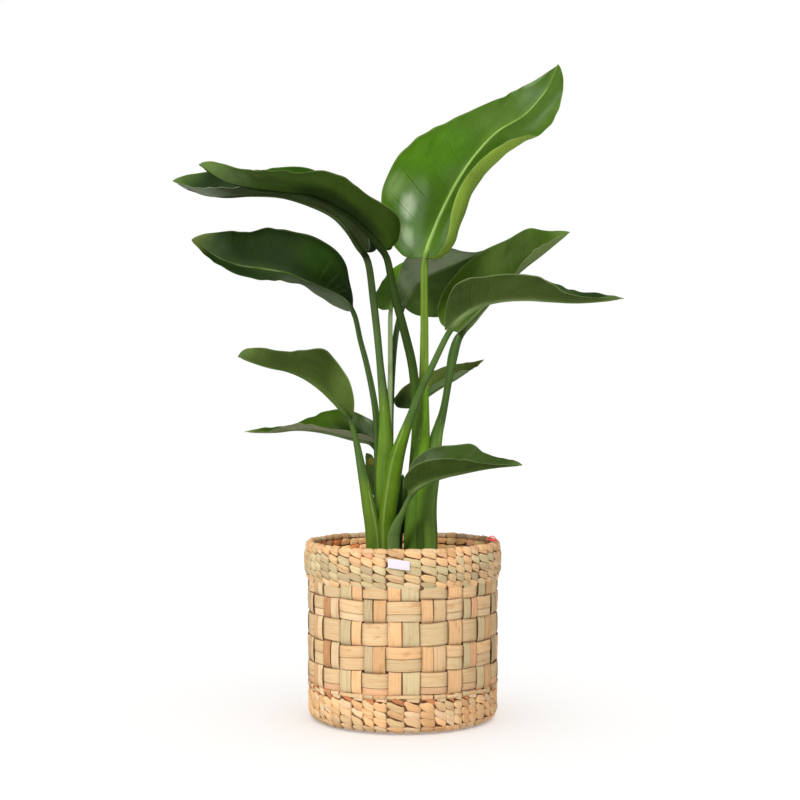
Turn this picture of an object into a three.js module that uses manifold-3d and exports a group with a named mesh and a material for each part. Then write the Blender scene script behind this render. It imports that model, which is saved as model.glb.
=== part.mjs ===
import * as THREE from 'three';
import Module from 'manifold-3d';
import { mergeVertices } from 'three/addons/utils/BufferGeometryUtils.js';

// A potted bird of paradise in a basket woven from palm leaf.
// Millimetres, +Z up, the front of the plant toward -Y.
// The origin is the middle of the basket's underside.

const wasm = await Module();
wasm.setup();

// Driving dimensions
const clearance = 0.3;
const basket = {
  height: 250,
  footRadius: 122,
  bodyRadius: 134.5,
  rimRadius: 139,
  innerRadius: 126,
  floor: 7,
  footHeight: 42.7,
  rimHeight: 57,
};
const rimEdge = { drop: 1, outerStep: 3, crownStep: 6, firstRow: 3, innerRows: 2, innerDepth: 25, flare: 2 };
const foot = { firstRow: 1.5, roundOut: 4, roundHeight: 14, cove: 4, coveHeight: 3 };
const pot = {
  top: 222, topRadius: 111, bottomRadius: 94, wall: 2, lipRadius: 115, lipHeight: 12, sides: 40,
};
const soil = { top: 214, gap: 1, edgeDrop: 2, edgeWidth: 5, holeFloor: 134.7, holeSides: 20 };
const stitches = { around: 40, rimRows: 5, footRows: 4, relief: 1.5, groove: 1.8 };
const weave = { columns: 24, rows: 4.5, relief: 1.3, sunk: 0.2, groove: 1.6, bulge: 1.2, sides: 72 };
const blade = { thickness: 1.2, stations: 12, strips: 3, lean: 0.25, narrowest: 0.6, shoulder: 0.12 };
const stalkSides = 8;
const keel = { places: [0.05, 0.25, 0.5, 0.78], tipRadius: 1.3, sink: 0.55, end: 0.9 };
const tag = { angle: -92, width: 30, bottom: 224.6, height: 14.4, thickness: 1.2, gap: 0.4, facets: 6 };
const thread = {
  radius: 0.9,
  steps: 6,
  route: [
    [118, -43, 254.2], [121.5, -44.2, 252.3], [125, -45.5, 251.1], [128.3, -46.7, 250.6], [131.5, -47.9, 251.4],
  ],
};

// The plain holes that the two shoots stand in: centre and half axes
const shootHoles = [
  { x: -28, y: -5, across: 33, deep: 50 },
  { x: 31, y: 1, across: 27, deep: 29 },
];

// Leaves. A stalk row is x, y, z, half width across and half width deep, from the soil up.
// A rib row is x, y, z, from the base of the blade to its tip.
// roll turns the blade about its rib, rise folds each half up from it and curl bends the half
// on the way to its margin, all in degrees, at five even steps along the blade.
// width is the size of a half at six even steps. In each shoot the inner sheaths come first.
const leaves = [
  {
    name: 'leaf_right_front',
    shoot: 'left',
    colour: 0x4a6a2c,
    stalk: [
      [-23, -21, 135, 9, 7.4], [-23, -21, 224, 9, 7.4], [-21, -23, 278, 11.5, 8],
      [-17, -27, 326, 13.5, 8.4], [-10, -31, 366, 12, 8], [0, -35, 398, 9, 7], [11, -39, 428, 6.6, 6],
      [25, -44, 464, 5.4, 5.4], [42, -50, 500, 5, 5], [61, -57, 539, 4.6, 4.6],
    ],
    rib: [
      [65, -59, 550], [79, -68, 563], [106, -82, 578], [139, -98, 584], [177, -114, 584],
      [216, -128, 580], [255, -140, 580], [294, -148, 586],
    ],
    roll: [0, 0, 0, 0, 0],
    left: { width: [24, 46, 50, 44, 28, 1], rise: [40, 44, 44, 38, 25], curl: [0, 0, 0, 0, 0] },
    right: { width: [26, 54, 50, 42, 26, 1], rise: [62, 52, 50, 14, 16], curl: [0, 0, 0, 0, 0] },
    wave: { depth: 3.2, count: 2.3, start: 0.5 },
    lobe: 14,
  },
  {
    name: 'leaf_lower_left',
    shoot: 'left',
    colour: 0x465f2d,
    stalk: [
      [-39, -21, 135, 11.5, 8], [-39, -21, 245, 11.5, 8], [-47, -23, 302, 9.5, 7.2],
      [-56, -25, 348, 6.4, 5.9], [-65, -27, 389, 4.6, 4.4], [-73, -28, 418, 4, 4],
    ],
    rib: [
      [-75, -29, 427], [-91, -40, 443], [-113, -52, 463], [-137, -66, 479], [-164, -78, 491],
      [-193, -90, 497], [-225, -100, 510],
    ],
    roll: [0, 0, 0, 0, 0],
    left: { width: [24, 46, 46, 36, 30, 1], rise: [75, 78, 62, 55, 45], curl: [0, 0, 0, 0, 0] },
    right: { width: [20, 40, 42, 32, 20, 1], rise: [60, 52, 40, 32, 30], curl: [0, 0, 0, 0, 0] },
    wave: { depth: 2.2, count: 2, start: 0.6 },
    lobe: 10,
  },
  {
    name: 'leaf_low_right',
    shoot: 'left',
    colour: 0x2f4f1a,
    stalk: [
      [-14, -37, 135, 10, 5.4], [-14, -37, 242, 10, 5.4], [-11, -40, 269, 8.6, 5],
      [-1, -45, 292, 4.8, 4.3], [7, -50, 310, 3.8, 3.8],
    ],
    rib: [
      [11, -55, 323], [31, -64, 336], [54, -76, 345], [81, -90, 351], [118, -106, 358],
      [161, -120, 362],
    ],
    roll: [15, 15, 12, 8, 0],
    left: { width: [20, 40, 42, 34, 20, 1], rise: [45, 45, 42, 36, 25], curl: [0, 0, 0, 0, 0] },
    right: { width: [18, 34, 34, 26, 14, 1], rise: [70, 62, 46, 26, 20], curl: [0, 0, 0, 0, 0] },
    wave: { depth: 1.2, count: 1.7, start: 0 },
    lobe: 9,
  },
  {
    name: 'leaf_back_centre',
    shoot: 'left',
    colour: 0x4a6e22,
    stalk: [
      [-21, 2, 135, 5.2, 5.2], [-21, 2, 261, 5.2, 5.2], [-20, 2, 353, 5, 5], [-19, 4, 421, 4.4, 4.4],
      [-18, 10, 479, 3.8, 3.8], [-18, 15, 529, 3.6, 3.6], [-18, 20, 568, 3.4, 3.4],
    ],
    rib: [
      [-18, 28, 582], [-14, 74, 601], [2, 112, 623], [23, 148, 644], [55, 180, 662], [93, 208, 679],
    ],
    roll: [0, 0, 0, 0, 0],
    left: { width: [34, 44, 44, 36, 22, 1], rise: [10, 20, 30, 35, 30], curl: [0, 0, 0, 0, 0] },
    right: { width: [4, 12, 28, 30, 20, 1], rise: [10, 20, 30, 35, 30], curl: [0, 0, 0, 0, 0] },
    wave: { depth: 1.4, count: 1.6, start: 0.5 },
    lobe: 12,
  },
  {
    name: 'leaf_upper_left_back',
    shoot: 'left',
    colour: 0x2f4f1a,
    stalk: [
      [-28, -1, 135, 9.5, 8], [-28, -1, 243, 9.5, 8], [-27, 0, 379, 9, 8], [-28, 3, 443, 7, 6.6],
      [-32, 7, 500, 5.8, 5.8], [-36, 10, 546, 5.4, 5.4], [-41, 14, 594, 5.3, 5.3],
      [-49, 17, 649, 4.8, 4.8],
    ],
    rib: [
      [-56, 18, 663], [-76, 28, 692], [-103, 42, 718], [-142, 58, 736], [-193, 76, 750],
      [-248, 92, 751], [-296, 102, 755], [-346, 110, 779],
    ],
    roll: [0, 0, 0, 0, 0],
    left: { width: [26, 46, 48, 44, 34, 1], rise: [55, 32, 14, 12, 14], curl: [0, 0, 0, 0, 0] },
    right: { width: [26, 54, 58, 56, 48, 1], rise: [45, 38, 34, 38, 36], curl: [0, 0, 0, 0, 0] },
    wave: { depth: 2.5, count: 2.2, start: 0.4 },
    lobe: 12,
  },
  {
    name: 'leaf_left',
    shoot: 'left',
    colour: 0x2f4f1a,
    stalk: [
      [-36, 5, 135, 6.8, 6.8], [-36, 5, 242, 6.8, 6.8], [-35, 5, 335, 6.8, 6.8], [-36, 6, 393, 6, 6],
      [-39, 6, 434, 5, 5], [-45, 8, 470, 4.6, 4.6], [-53, 9, 506, 4.3, 4.3], [-61, 11, 536, 4, 4],
      [-69, 12, 571, 3.8, 3.8],
    ],
    rib: [
      [-72, 13, 584], [-89, 20, 599], [-113, 29, 611], [-141, 40, 623], [-171, 51, 636],
      [-207, 62, 643], [-243, 72, 649], [-277, 80, 663], [-313, 86, 689],
    ],
    roll: [-45, -45, -42, -38, -30],
    left: { width: [20, 24, 20, 22, 16, 1], rise: [30, 22, 15, 10, 5], curl: [-10, -20, -20, -20, 0] },
    right: { width: [18, 62, 78, 70, 48, 1], rise: [25, 22, 20, 20, 20], curl: [-20, -20, -20, -10, 0] },
    wave: { depth: 2.4, count: 2, start: 0.1 },
    lobe: 5,
  },
  {
    name: 'leaf_back_right',
    shoot: 'left',
    colour: 0x2f4f1a,
    stalk: [
      [-20, 15, 135, 6.5, 6.5], [-20, 15, 249, 6.5, 6.5], [-19, 15, 349, 5.9, 5.9],
      [-18, 18, 428, 5.1, 5.1], [-15, 25, 493, 4.7, 4.7], [-11, 33, 537, 4.4, 4.4],
      [-5, 40, 569, 4.1, 4.1],
    ],
    rib: [
      [0, 46, 587], [12, 65, 609], [32, 86, 631], [62, 112, 647], [99, 140, 666], [144, 166, 687],
    ],
    roll: [50, 55, 55, 45, 25],
    left: { width: [6, 30, 50, 42, 26, 1], rise: [0, 0, 5, 10, 15], curl: [0, 0, 0, 0, 0] },
    right: { width: [36, 70, 74, 62, 34, 1], rise: [-6, -8, 0, 5, 10], curl: [-10, -20, -20, -10, 0] },
    wave: { depth: 1.8, count: 1.8, start: 0.7 },
    lobe: 6,
  },
  {
    name: 'leaf_low_left_back',
    shoot: 'left',
    colour: 0x42641f,
    stalk: [
      [-31, 18, 135, 5.4, 5.4], [-31, 18, 241, 5.4, 5.4], [-32, 20, 327, 4.4, 4.4],
      [-36, 22, 371, 3.7, 3.7],
    ],
    rib: [
      [-39, 23, 386], [-77, 36, 393], [-115, 48, 400], [-154, 60, 404], [-196, 72, 400],
      [-234, 80, 403],
    ],
    roll: [-15, -15, -10, -5, 0],
    left: { width: [18, 32, 30, 20, 10, 1], rise: [40, 34, 28, 20, 20], curl: [0, 0, 0, 0, 0] },
    right: { width: [22, 42, 44, 26, 12, 1], rise: [35, 42, 34, 15, 10], curl: [0, 0, 0, 0, 0] },
    wave: { depth: 1.8, count: 1.8, start: 0.2 },
    lobe: 9,
  },
  {
    name: 'leaf_short_left',
    stations: 7,
    strips: 1,
    shoot: 'left',
    colour: 0x2f4f1a,
    stalk: [
      [-30, 27, 135, 3.8, 3.8], [-30, 27, 219, 3.8, 3.8], [-31, 28, 269, 3, 3],
    ],
    rib: [
      [-33, 29, 279], [-37, 31, 305], [-43, 34, 334], [-52, 40, 373],
    ],
    roll: [0, 0, 0, 0, 0],
    left: { width: [8, 14, 13, 10, 6, 1], rise: [45, 40, 35, 30, 20], curl: [0, 0, 0, 0, 0] },
    right: { width: [8, 14, 13, 10, 6, 1], rise: [45, 40, 35, 30, 20], curl: [0, 0, 0, 0, 0] },
    wave: { depth: 0.5, count: 1.5, start: 0 },
    lobe: 4,
  },
  {
    name: 'leaf_short_middle',
    stations: 7,
    strips: 1,
    shoot: 'left',
    colour: 0x2f4f1a,
    stalk: [
      [-5, 13, 135, 3.8, 3.8], [-5, 13, 209, 3.8, 3.8], [-3, 14, 249, 3, 3],
    ],
    rib: [
      [-3, 15, 260], [-1, 17, 286], [1, 19, 312], [0, 24, 343],
    ],
    roll: [0, 0, 0, 0, 0],
    left: { width: [8, 14, 13, 10, 6, 1], rise: [45, 40, 35, 30, 20], curl: [0, 0, 0, 0, 0] },
    right: { width: [8, 14, 13, 10, 6, 1], rise: [45, 40, 35, 30, 20], curl: [0, 0, 0, 0, 0] },
    wave: { depth: 0.5, count: 1.5, start: 0.3 },
    lobe: 4,
  },
  {
    name: 'leaf_tall_bright',
    stations: 16,
    strips: 4,
    shoot: 'right',
    colour: 0x46781e,
    stalk: [
      [31, 2, 135, 7.5, 7], [31, 2, 243, 7.5, 7], [31, 3, 353, 7.2, 6.8], [31, 5, 450, 6.8, 6.5],
      [31, 9, 550, 6, 6], [31, 13, 640, 5.2, 5.2],
    ],
    rib: [
      [31, 15, 656], [50, 34, 708], [74, 52, 759], [104, 70, 807], [142, 88, 850], [186, 102, 880],
      [215, 108, 914], [233, 104, 953],
    ],
    roll: [62, 68, 70, 62, 45],
    left: { width: [54, 92, 86, 58, 32, 1], rise: [10, 4, 0, 5, 15], curl: [-20, -20, -10, 0, 30] },
    right: { width: [60, 92, 94, 84, 50, 1], rise: [10, 8, 12, 8, 0], curl: [50, 135, 128, 45, 0] },
    wave: { depth: 1.5, count: 2.2, start: 0.3 },
    lobe: 16,
  },
  {
    name: 'leaf_upper_left_front',
    shoot: 'right',
    colour: 0x2f4f1a,
    stalk: [
      [18, -7, 135, 11, 9.5], [18, -7, 244, 11, 9.5], [19, -11, 379, 10, 9], [18, -15, 443, 7.6, 7.4],
      [11, -19, 498, 6.6, 6.6], [0, -23, 549, 6.4, 6.4], [-13, -26, 605, 6.1, 6.1],
      [-22, -28, 649, 5.4, 5.4],
    ],
    rib: [
      [-25, -29, 661], [-52, -40, 691], [-79, -52, 711], [-123, -70, 732], [-163, -86, 735],
      [-208, -100, 739], [-245, -110, 748], [-276, -116, 768],
    ],
    roll: [0, 0, 0, 0, 0],
    left: { width: [52, 48, 52, 50, 38, 1], rise: [58, 54, 46, 38, 38], curl: [10, 0, 0, 0, 10] },
    right: { width: [30, 50, 54, 52, 40, 1], rise: [50, 48, 46, 42, 38], curl: [0, 0, 0, 0, 0] },
    wave: { depth: 3, count: 2.3, start: 0 },
    lobe: 15,
  },
  {
    name: 'leaf_right_upper',
    shoot: 'right',
    colour: 0x46682a,
    stalk: [
      [40, 3, 135, 10.5, 8.5], [40, 3, 243, 10.5, 8.5], [43, 4, 307, 10.5, 8.5], [45, 6, 361, 10, 8],
      [49, 8, 397, 8.6, 7], [56, 10, 426, 6.4, 6], [61, 12, 449, 5.4, 5.4], [67, 15, 479, 5, 5],
      [75, 19, 519, 4.6, 4.6], [80, 21, 537, 4.4, 4.4],
    ],
    rib: [
      [81, 23, 547], [98, 34, 563], [119, 50, 587], [148, 68, 618], [179, 86, 646], [215, 102, 673],
      [252, 116, 703],
    ],
    roll: [12, 16, 16, 14, 8],
    left: { width: [34, 68, 70, 56, 36, 1], rise: [36, 36, 36, 34, 30], curl: [0, 0, 0, 0, 20] },
    right: { width: [26, 44, 42, 36, 24, 1], rise: [36, 34, 30, 30, 25], curl: [0, 0, 0, 0, 0] },
    wave: { depth: 2.2, count: 2, start: 0.9 },
    lobe: 13,
  },
  {
    name: 'leaf_back_small',
    shoot: 'right',
    colour: 0x5c7a38,
    stalk: [
      [28, 19, 135, 4.9, 4.9], [28, 19, 263, 4.9, 4.9], [25, 22, 326, 4.4, 4.4],
      [20, 25, 378, 3.8, 3.8], [16, 28, 412, 3.5, 3.5],
    ],
    rib: [
      [14, 30, 422], [31, 52, 444], [57, 76, 460], [87, 100, 480], [123, 124, 509],
    ],
    roll: [-10, -5, 10, 20, 20],
    left: { width: [34, 40, 36, 26, 14, 1], rise: [30, 30, 30, 30, 20], curl: [0, 0, 0, 0, 0] },
    right: { width: [28, 34, 34, 26, 14, 1], rise: [20, 30, 40, 40, 30], curl: [0, 0, 0, 0, 0] },
    wave: { depth: 1.4, count: 1.6, start: 0.1 },
    lobe: 12,
  },
];

const unitAxis = { x: new THREE.Vector3(1, 0, 0), z: new THREE.Vector3(0, 0, 1) };

// Smooth value of a short list at t from 0 to 1
function valueAt(list, t) {
  const place = Math.min(Math.max(t, 0), 1) * (list.length - 1);
  const i = Math.min(Math.floor(place), list.length - 2);
  const f = place - i;
  const b = list[i];
  const c = list[i + 1];
  const a = i > 0 ? list[i - 1] : 2 * b - c;
  const d = i < list.length - 2 ? list[i + 2] : 2 * c - b;
  const bend = (2 * a - 5 * b + 4 * c - d) * f ** 2 + (3 * b - 3 * c + d - a) * f ** 3;
  return 0.5 * (2 * b + (c - a) * f + bend);
}

function radians(degrees) {
  return (degrees * Math.PI) / 180;
}

// Geometry and solids
function geometryFrom(positions, indices) {
  const geometry = new THREE.BufferGeometry();
  geometry.setAttribute('position', new THREE.Float32BufferAttribute(positions, 3));
  geometry.setIndex(indices);
  return geometry;
}

function solidFrom(geometry) {
  const plain = geometry.clone();
  plain.deleteAttribute('normal');
  plain.deleteAttribute('uv');
  const merged = mergeVertices(plain, 1e-4);
  return new wasm.Manifold(new wasm.Mesh({
    numProp: 3,
    vertProperties: new Float32Array(merged.attributes.position.array),
    triVerts: new Uint32Array(merged.index.array),
  }));
}

function geometryOf(solid) {
  const mesh = solid.getMesh();
  const geometry = geometryFrom(Array.from(mesh.vertProperties), Array.from(mesh.triVerts));
  geometry.computeVertexNormals();
  return geometry;
}

function largestBody(solid) {
  return solid.decompose().reduce((best, body) => (body.volume() > best.volume() ? body : best));
}

// The rib as a curve, with the direction, left side and upper side of the blade along it
function ribFrame(leaf) {
  const points = leaf.rib.map((row) => new THREE.Vector3(...row));
  const curve = new THREE.CatmullRomCurve3(points, false, 'catmullrom', 0.5);
  const heading = points[points.length - 1].clone().sub(points[0]).setZ(0).normalize();
  const level = unitAxis.z.clone().cross(heading);
  return (u) => {
    const centre = curve.getPointAt(u);
    const along = curve.getTangentAt(u);
    const flatSide = level.clone().addScaledVector(along, -along.dot(level)).normalize();
    const flatUp = along.clone().cross(flatSide);
    const roll = radians(valueAt(leaf.roll, u));
    const side = flatSide.clone().multiplyScalar(Math.cos(roll)).addScaledVector(flatUp, Math.sin(roll));
    const up = flatUp.clone().multiplyScalar(Math.cos(roll)).addScaledVector(flatSide, -Math.sin(roll));
    return { centre, along, side, up };
  };
}

// Point of the blade at u along the rib and v out from it, on the left (1) or the right (-1)
function bladePoint(leaf, frame, u, v, hand) {
  const half = hand > 0 ? leaf.left : leaf.right;
  const swell = Math.sin(Math.PI * u);
  const shoulder = 0.35 + 0.65 * Math.sin(Math.min(u / blade.shoulder, 1) * Math.PI / 2);
  const width = Math.max(valueAt(half.width, u), blade.narrowest) * shoulder;
  const rise = radians(valueAt(half.rise, u));
  const curl = radians(valueAt(half.curl, u)) || 0.001;
  const out = (width * (Math.sin(rise + curl * v) - Math.sin(rise))) / curl;
  const phase = 2 * Math.PI * (leaf.wave.count * u + leaf.wave.start) + (hand > 0 ? 0 : 1.3);
  const ripple = leaf.wave.depth * v * v * Math.sin(phase) * Math.sqrt(Math.max(swell, 0));
  const lift = (width * (Math.cos(rise) - Math.cos(rise + curl * v))) / curl + ripple;
  const ahead = blade.lean * width * v * swell - leaf.lobe * v * (1 - u) ** 10;
  return frame.centre.clone()
    .addScaledVector(frame.side, hand * out)
    .addScaledVector(frame.up, lift)
    .addScaledVector(frame.along, ahead);
}

// Blade: a thin closed sheet whose two faces are split into triangles alike
function bladeGeometry(leaf, frameAt) {
  const stations = leaf.stations ?? blade.stations;
  const strips = leaf.strips ?? blade.strips;
  const columns = 2 * strips + 1;
  const grid = [];
  for (let i = 0; i < stations; i += 1) {
    const u = i / (stations - 1);
    const frame = frameAt(u);
    for (let j = 0; j < columns; j += 1) {
      const hand = j <= strips ? 1 : -1;
      grid.push(bladePoint(leaf, frame, u, Math.abs(strips - j) / strips, hand));
    }
  }
  const at = (i, j) => grid[i * columns + j];
  const faceNormal = (i, j) => {
    const diagonal = at(i + 1, j + 1).clone().sub(at(i, j));
    return at(i, j + 1).clone().sub(at(i + 1, j)).cross(diagonal).normalize();
  };
  const upper = [];
  const lower = [];
  for (let i = 0; i < stations; i += 1) {
    for (let j = 0; j < columns; j += 1) {
      const before = faceNormal(Math.min(i, stations - 2), Math.max(j - 1, 0));
      const after = faceNormal(Math.min(i, stations - 2), Math.min(j, columns - 2));
      const normal = before.clone().add(after).normalize();
      const reach = blade.thickness / 2 / Math.max(normal.dot(after), 0.5);
      upper.push(...at(i, j).clone().addScaledVector(normal, -reach).toArray());
      lower.push(...at(i, j).clone().addScaledVector(normal, reach).toArray());
    }
  }
  const other = grid.length;
  const indices = [];
  for (let i = 0; i < stations - 1; i += 1) {
    for (let j = 0; j < columns - 1; j += 1) {
      const a = i * columns + j;
      const b = a + columns;
      indices.push(a, b, b + 1, a, b + 1, a + 1);
      indices.push(other + a, other + b + 1, other + b, other + a, other + a + 1, other + b + 1);
    }
  }
  const edge = [];
  for (let j = 0; j < columns; j += 1) edge.push(j);
  for (let i = 1; i < stations; i += 1) edge.push(i * columns + columns - 1);
  for (let j = columns - 2; j >= 0; j -= 1) edge.push((stations - 1) * columns + j);
  for (let i = stations - 2; i > 0; i -= 1) edge.push(i * columns);
  edge.forEach((a, k) => {
    const b = edge[(k + 1) % edge.length];
    indices.push(a, b, other + b, a, other + b, other + a);
  });
  return geometryFrom([...upper, ...lower], indices);
}

// Stalk: an oval tube from the soil up, which goes on as a keel under the rib
function stalkRows(leaf, frameAt) {
  const rows = [];
  const count = leaf.stalk.length - 1;
  for (let k = 0; k <= count; k += 1) {
    rows.push([0, 1, 2, 3, 4].map((item) => valueAt(leaf.stalk.map((row) => row[item]), k / count)));
  }
  const end = rows[rows.length - 1][4];
  for (const u of keel.places) {
    const frame = frameAt(u);
    const radius = keel.tipRadius + (end - keel.tipRadius) * (1 - u / keel.end) ** 1.3;
    const centre = frame.centre.clone().addScaledVector(frame.up, -keel.sink * radius);
    rows.push([...centre.toArray(), radius, radius]);
  }
  return rows;
}

function stalkGeometry(rows, extra) {
  const centres = rows.map((row) => new THREE.Vector3(row[0], row[1], row[2]));
  const positions = [];
  let across = unitAxis.x.clone();
  rows.forEach((row, k) => {
    const before = centres[Math.max(k - 1, 0)];
    const after = centres[Math.min(k + 1, rows.length - 1)];
    const along = after.clone().sub(before).normalize();
    across = across.clone().addScaledVector(along, -across.dot(along)).normalize();
    const deep = along.clone().cross(across);
    for (let s = 0; s < stalkSides; s += 1) {
      const angle = (2 * Math.PI * (s + 0.5)) / stalkSides;
      const point = centres[k].clone()
        .addScaledVector(across, (row[3] + extra) * Math.cos(angle))
        .addScaledVector(deep, (row[4] + extra) * Math.sin(angle));
      positions.push(...point.toArray());
    }
  });
  const indices = [];
  for (let k = 0; k < rows.length - 1; k += 1) {
    for (let s = 0; s < stalkSides; s += 1) {
      const a = k * stalkSides + s;
      const b = k * stalkSides + ((s + 1) % stalkSides);
      indices.push(a, b, b + stalkSides, a, b + stalkSides, a + stalkSides);
    }
  }
  const last = (rows.length - 1) * stalkSides;
  for (let s = 1; s < stalkSides - 1; s += 1) {
    indices.push(0, s + 1, s);
    indices.push(last, last + s, last + s + 1);
  }
  return geometryFrom(positions, indices);
}

// Every leaf is one body, and an outer sheath is cut clear of the stalks that it clasps
function makeLeaves() {
  const innerStalks = { left: [], right: [] };
  return leaves.map((leaf) => {
    const frameAt = ribFrame(leaf);
    const rows = stalkRows(leaf, frameAt);
    let body = solidFrom(bladeGeometry(leaf, frameAt)).add(solidFrom(stalkGeometry(rows, 0)));
    innerStalks[leaf.shoot].forEach((stalk) => {
      body = body.subtract(stalk);
    });
    innerStalks[leaf.shoot].push(solidFrom(stalkGeometry(rows, 1.5 * clearance)));
    return namedMesh(leaf.name, geometryOf(largestBody(body)), { color: leaf.colour, roughness: 0.42 });
  });
}

function namedMesh(name, geometry, look) {
  const mesh = new THREE.Mesh(geometry, new THREE.MeshStandardMaterial({ metalness: 0, ...look }));
  mesh.name = name;
  return mesh;
}

// Ring or dish turned from a profile of [radius, height, relief] points about the Z axis.
// relief is a function of the angle that moves the point outward.
function turned(profile, segments) {
  const points = profile.map(([radius, height]) => new THREE.Vector2(radius, height));
  const geometry = new THREE.LatheGeometry(points, segments);
  geometry.rotateX(Math.PI / 2);
  geometry.deleteAttribute('normal');
  geometry.deleteAttribute('uv');
  const position = geometry.attributes.position;
  for (let i = 0; i < position.count; i += 1) {
    const relief = profile[i % profile.length][2];
    const radius = Math.hypot(position.getX(i), position.getY(i));
    if (relief && radius > 0) {
      const step = Math.floor(i / profile.length) % segments;
      const scale = (radius + relief((2 * Math.PI * step) / segments)) / radius;
      position.setXY(i, position.getX(i) * scale, position.getY(i) * scale);
    }
  }
  const solid = solidFrom(geometry);
  return solid.volume() > 0 ? solid : solidFrom(flipped(geometry));
}

function flipped(geometry) {
  const copy = geometry.clone();
  const index = copy.index.array;
  for (let i = 0; i < index.length; i += 3) {
    [index[i], index[i + 1]] = [index[i + 1], index[i]];
  }
  return copy;
}

// Twined band: rows of slanting stitches, each row half a stitch on from the one below
function stitchRows(rows, bottom, top, radiusAt, sign) {
  const rowHeight = (top - bottom) / rows;
  const points = [];
  for (let row = 0; row < rows; row += 1) {
    const height = bottom + rowHeight * (row + 0.5);
    const bump = (angle) => sign * stitches.relief * Math.cos(stitches.around * angle + Math.PI * row);
    points.push([radiusAt(height), height, bump]);
    if (row < rows - 1) {
      const groove = bottom + rowHeight * (row + 1);
      points.push([radiusAt(groove) - sign * stitches.groove, groove, null]);
    }
  }
  return points;
}

function makeRim() {
  const bottom = basket.height - basket.rimHeight + clearance;
  const top = basket.height;
  const outer = (height) => {
    const share = (height - bottom) / (top - bottom);
    const swell = Math.sin(Math.min(share * 1.25, 1) * Math.PI / 2);
    return basket.bodyRadius + (basket.rimRadius - basket.bodyRadius) * swell;
  };
  const inner = (height) => basket.innerRadius + rimEdge.flare * ((height - bottom) / (top - bottom));
  const lastRow = top - rimEdge.firstRow;
  const profile = [
    [outer(bottom) - stitches.groove, bottom, null],
    ...stitchRows(stitches.rimRows, bottom, lastRow, outer, 1),
    [outer(top) - rimEdge.outerStep, top - rimEdge.drop, null],
    [outer(top) - rimEdge.crownStep, top, null],
    [inner(top) + rimEdge.outerStep, top - rimEdge.drop, null],
    ...stitchRows(rimEdge.innerRows, top - rimEdge.innerDepth, lastRow, inner, -1).reverse(),
    [inner(bottom), bottom, null],
  ];
  profile.push(profile[0]);
  return turned(profile, 2 * stitches.around);
}

// Chequer weave: cells stand out and sink in turn, with a groove round each.
// The sides fall three to a column: one in the groove and two on the cell.
function makeWeave() {
  const bottom = basket.footHeight + clearance;
  const top = basket.height - basket.rimHeight;
  const rowHeight = (top - bottom) / weave.rows;
  const columnSides = weave.sides / weave.columns;
  const cell = (row) => (angle) => {
    const side = Math.round((angle * weave.sides) / (2 * Math.PI));
    const column = Math.floor(side / columnSides);
    const lift = (column + row) % 2 === 0 ? weave.relief : -weave.sunk;
    return side % columnSides === 0 ? -weave.groove : lift;
  };
  const bulge = (height) => {
    const share = (height - bottom) / (top - bottom);
    return basket.bodyRadius + weave.bulge * Math.sin(Math.PI * share);
  };
  const profile = [[basket.bodyRadius - weave.groove, bottom, null]];
  for (let row = 0; row < weave.rows; row += 1) {
    for (const share of [0.22, 0.78, 1]) {
      const height = bottom + rowHeight * (row + share);
      if (height < top - 1) {
        const atGroove = share === 1;
        profile.push([bulge(height) - (atGroove ? weave.groove : 0), height, atGroove ? null : cell(row)]);
      }
    }
  }
  profile.push([basket.bodyRadius - weave.groove, top, null]);
  profile.push([basket.innerRadius, top, null]);
  profile.push([basket.innerRadius, bottom, null]);
  profile.push(profile[0]);
  return turned(profile, weave.sides);
}

// Foot: a twined band round the floor, flat underneath
function makeFoot() {
  const top = basket.footHeight;
  const outer = (height) => {
    const share = Math.min(height / foot.roundHeight, 1);
    const start = basket.footRadius + foot.roundOut;
    return start + (basket.bodyRadius - start) * Math.sin((share * Math.PI) / 2);
  };
  const profile = [
    [0, 0, null],
    [basket.footRadius, 0, null],
    ...stitchRows(stitches.footRows, foot.firstRow, top, outer, 1),
    [outer(top) - stitches.groove, top, null],
    [basket.innerRadius, top, null],
    [basket.innerRadius - foot.cove, basket.floor + foot.coveHeight, null],
    [basket.innerRadius - 2 * foot.cove, basket.floor, null],
    [0, basket.floor, null],
  ];
  return turned(profile, 2 * stitches.around);
}

// Nursery pot: a plain cup with a lip
function makePot() {
  const bottom = basket.floor + clearance;
  const profile = [
    [0, bottom, null],
    [pot.bottomRadius, bottom, null],
    [pot.topRadius, pot.top - pot.lipHeight, null],
    [pot.lipRadius, pot.top - pot.lipHeight, null],
    [pot.lipRadius, pot.top, null],
    [pot.topRadius - pot.wall, pot.top, null],
    [pot.bottomRadius - pot.wall, bottom + pot.wall, null],
    [0, bottom + pot.wall, null],
  ];
  return turned(profile, pot.sides);
}

// Soil: fills the pot, with a plain oval hole for each shoot
function makeSoil() {
  const bottom = basket.floor + clearance + pot.wall + clearance;
  const slope = (pot.topRadius - pot.bottomRadius) / (pot.top - basket.floor - clearance);
  const radiusAt = (height) => pot.bottomRadius - pot.wall - soil.gap + slope * (height - bottom);
  const edge = soil.top - soil.edgeDrop;
  const profile = [
    [0, bottom, null],
    [radiusAt(bottom), bottom, null],
    [radiusAt(edge), edge, null],
    [radiusAt(edge) - soil.edgeWidth, soil.top, null],
    [0, soil.top, null],
  ];
  let body = turned(profile, pot.sides);
  for (const hole of shootHoles) {
    const depth = soil.top - soil.holeFloor + soil.edgeWidth;
    const geometry = new THREE.CylinderGeometry(1, 1, depth, soil.holeSides);
    geometry.rotateX(Math.PI / 2);
    geometry.scale(hole.across, hole.deep, 1);
    geometry.translate(hole.x, hole.y, soil.holeFloor + depth / 2);
    body = body.subtract(solidFrom(geometry));
  }
  return body;
}

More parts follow.
